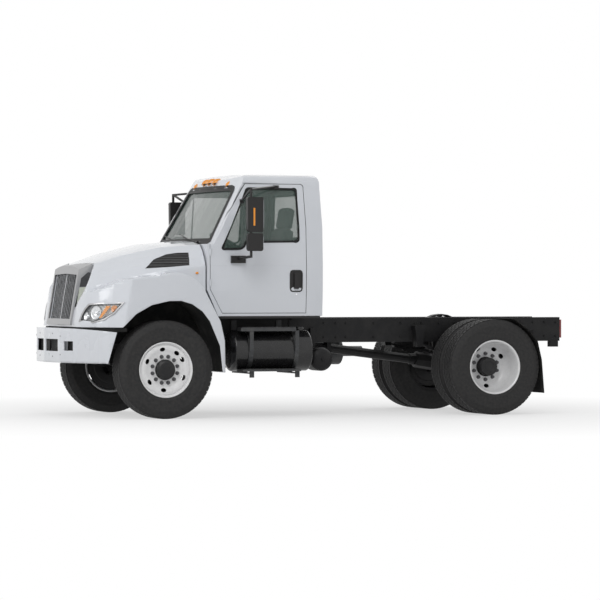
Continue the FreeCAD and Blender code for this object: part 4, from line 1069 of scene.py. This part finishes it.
def tank():
    """The fuel tank with its straps and steps, and the air tank behind it."""
    body = spun([(0, -461), (150, -461), (185, -455), (206, -446), (217, -436), (222, -424), (222, 424), (217, 436),
                 (206, 446), (185, 455), (150, 461), (0, 461)], -1269, 800, 716, "X", 72)
    peg(body, (-1630, 800, 900), (-1630, 800, 950), 44, 32)
    peg(body, (-1630, 800, 950), (-1630, 800, 971), 50, 32, 46)
    piece("tank_shell", body, TANK_PAINT, "chassis", ("fuel_tank",), sharp=32.0)
    straps = bmesh.new()
    for x in (-1000, -1520):
        joined(straps, spun([(223, -22), (229.5, -22), (229.5, 22), (223, 22)], x, 800, 716, "X", 72, True))
        for z in (905, 925):
            peg(straps, (x - 12, 905, z), (x + 12, 905, z), 9, 8)
    piece("tank_straps", straps, STEEL, sharp=32.0)
    treads = bmesh.new()
    slab(treads, -1498, -880, 934, 1056, 964, 970)
    slab(treads, -1536, -886, 905, 1106, 515, 521)
    for i in range(9):
        slab(treads, -1520 + i * 72, -1494 + i * 72, 918, 1094, 520, 524)
    for i in range(8):
        slab(treads, -1482 + i * 76, -1456 + i * 76, 942, 1050, 969, 973)
    for i in range(38):
        slab(treads, -1494 + i * 16, -1486 + i * 16, 1052, 1060, 966, 976)
        slab(treads, -1532 + i * 17, -1524 + i * 17, 1102, 1110, 517, 527)
    piece("step_treads", outward(treads), STEP, slot="step_grey", soften=1.0)
    air = spun([(0, -170), (60, -168), (96, -158), (118, -142), (127, -125), (128, -110), (128, 110), (127, 125),
                (118, 142), (96, 158), (60, 168), (0, 170)], -1900, 640, 616, "Y", 48)
    slab(air, -1925, -1875, 432, 482, 600, 950)
    peg(air, (-1900, 808, 616), (-1900, 826, 616), 16, 12)
    piece("air_tank_shell", air, FRAME_PAINT, "chassis", ("air_tank",), sharp=32.0)


def silencer():
    """The silencer with its clamps and hangers, and the battery case before it."""
    can = spun([(0, -470), (130, -468), (144, -460), (150, -448), (150, 448), (144, 460), (130, 468), (0, 470)],
               -2210, -760, 670, "X", 56)
    peg(can, (-2670, -760, 670), (-2940, -760, 670), 58, 32)
    for x in (-1900, -2500):
        joined(can, spun([(151, -18), (155, -18), (155, 18), (151, 18)], x, -760, 670, "X", 56, True))
    for x in (-1880, -2530):
        slab(can, x - 25, x + 25, -630, -RAIL, 640, 994)
    piece("silencer", can, STEEL, "chassis", ("exhaust",), sharp=32.0)
    piece("battery_case", copied("battery_box"), TANK_PAINT, "chassis", ("battery_box",), sharp=33.0, soften=8.0)


def frame_details():
    """Bolt heads along the rails, air pipes, cables and the brake chambers by the rear axle."""
    bolts = bmesh.new()
    for side in (1, -1):
        for x in (-560, -640, -1640, -1740, -2050, -2190, -2310, -2640, -2960, -3127, -3207, -3420, -3600, -3687,
                  -3847, -4000, -4180, -4327, -4407, -4560, -4700, -4840):
            for z in (850, 1005):
                y = side * RAIL
                peg(bolts, (x, y, z), (x, y + side * 9, z), 13, 6)
                peg(bolts, (x, y + side * 9, z), (x, y + side * 16, z), 7, 6)
    piece("rail_bolts", outward(bolts), FRAME_PAINT, sharp=30.0)
    pipes = bmesh.new()
    for y, z, r in ((-405, 880, 11), (-405, 910, 7), (405, 890, 9)):
        peg(pipes, (-4800, y, z), (-500, y, z), r, 10)
    for side in (1, -1):
        for x, z in ((-3900, 820), (-3640, 820)):
            peg(pipes, (x, side * 380, z), (x - 60, side * 520, 640), 32, 14)
    piece("frame_pipes", outward(pipes), PLASTIC, sharp=40.0)
    pots = bmesh.new()
    for side in (1, -1):
        y = side * 330
        peg(pots, (REAR + 95, y, 560), (REAR + 250, y, 590), 84, 28)
        peg(pots, (REAR + 250, y, 590), (REAR + 275, y, 595), 70, 28)
        peg(pots, (REAR + 165, y, 574), (REAR + 180, y, 577), 91, 28)
    piece("brake_chambers", outward(pots), FRAME_PAINT, sharp=40.0)


def tail():
    """The boxes round the tail lamps."""
    for side, name in SIDES:
        boxes("tail_lamp_box_" + name, PLASTIC, (-4888, -4860, side * 285, side * 424, 826, 1038), soften=4.0)


def flap_details():
    bm = bmesh.new()
    for side in (1, -1):
        for y in (640, 780, 920, 1060, 1190):
            peg(bm, (REAR - 415, side * y, 916), (REAR - 402, side * y, 926), 10, 8)
    piece("flap_bolts", outward(bm), STEEL, sharp=30.0)


# Camera, floor and light

def camera():
    data = bpy.data.cameras.new("camera")
    data.sensor_width = 36.0
    data.lens = FOCAL / PICTURE * data.sensor_width
    data.clip_end = 200.0
    cam = placed("camera", data)
    pitch = math.atan((PICTURE / 2 - HORIZON) / FOCAL)
    look = Vector((-math.sin(CAMERA_YAW) * math.cos(pitch), -math.cos(CAMERA_YAW) * math.cos(pitch),
                   -math.sin(pitch)))
    cam.rotation_mode = "QUATERNION"
    cam.rotation_quaternion = look.to_track_quat("-Z", "Y")
    cam.location = CAMERA_PLACE
    bpy.context.scene.camera = cam


def floor():
    """A floor that keeps the shadow near the object and fades to white away from it."""
    bm = bmesh.new()
    bmesh.ops.create_grid(bm, x_segments=2, y_segments=2, size=70)
    mesh = bpy.data.meshes.new("floor")
    bm.to_mesh(mesh)
    bm.free()
    ground = placed("floor", mesh)
    net = Net("floor_white")
    net.surface(colour=(0.82, 0.82, 0.82), rough=0.9)
    away = net.node("ShaderNodeVectorMath", {"operation": "LENGTH"}, {0: net.place}, out="Value")
    fade = net.node("ShaderNodeMapRange", {}, {0: away, 1: 2.0, 2: 6.5, 3: 0.55, 4: 1.0})
    seen = [net.node("ShaderNodeLightPath", {}, {}, out=ray)
            for ray in ("Is Camera Ray", "Is Glossy Ray", "Is Transmission Ray")]
    white = net.tree.nodes.new("ShaderNodeEmission")
    blend = net.tree.nodes.new("ShaderNodeMixShader")
    net.put(blend.inputs[0], fade * (seen[0] + seen[1] + seen[2]).sum("MINIMUM", 1.0))
    net.tree.links.new(net.shader.outputs[0], blend.inputs[1])
    net.tree.links.new(white.outputs[0], blend.inputs[2])
    net.tree.links.new(blend.outputs[0], net.output.inputs["Surface"])
    mesh.materials.append(net.material)


def studio():
    """A white world, dimmer where it lights the object than where it is seen, and three soft lamps."""
    world = bpy.data.worlds.new("studio")
    world.use_nodes = True
    tree = world.node_tree
    back = tree.nodes["Background"]
    back.inputs["Color"].default_value = (1.0, 1.0, 1.0, 1.0)
    path = tree.nodes.new("ShaderNodeLightPath")
    total = path.outputs["Is Camera Ray"]
    for ray in ("Is Glossy Ray", "Is Transmission Ray"):
        both = tree.nodes.new("ShaderNodeMath")
        both.operation = "MAXIMUM"
        tree.links.new(total, both.inputs[0])
        tree.links.new(path.outputs[ray], both.inputs[1])
        total = both.outputs[0]
    level = tree.nodes.new("ShaderNodeMapRange")
    tree.links.new(total, level.inputs["Value"])
    level.inputs["To Min"].default_value = 0.42
    level.inputs["To Max"].default_value = 1.0
    tree.links.new(level.outputs["Result"], back.inputs["Strength"])
    bpy.context.scene.world = world
    for place, size, power in (((5.0, 9.0, 9.0), 6.0, 430.0), ((12.0, 2.0, 6.0), 5.0, 260.0),
                               ((-7.0, -6.0, 9.0), 6.0, 240.0)):
        data = bpy.data.lights.new("softbox", "AREA")
        data.size = size
        data.energy = power
        lamp_object = placed("softbox", data)
        lamp_object.location = place
        lamp_object.rotation_mode = "QUATERNION"
        lamp_object.rotation_quaternion = (Vector((0, 0, 1)) - Vector(place)).to_track_quat("-Z", "Y")


camera()
floor()
studio()
bpy.context.scene.view_settings.view_transform = "Standard"

wheels()
drums()
panels()
nose()
bumper_backs()
arch_liners()
hood_vents()
seals()
wipers()
door_fittings()
cab_fittings()
lining()
interior()
seats()
tank()
silencer()
frame_details()
tail()
flap_details()
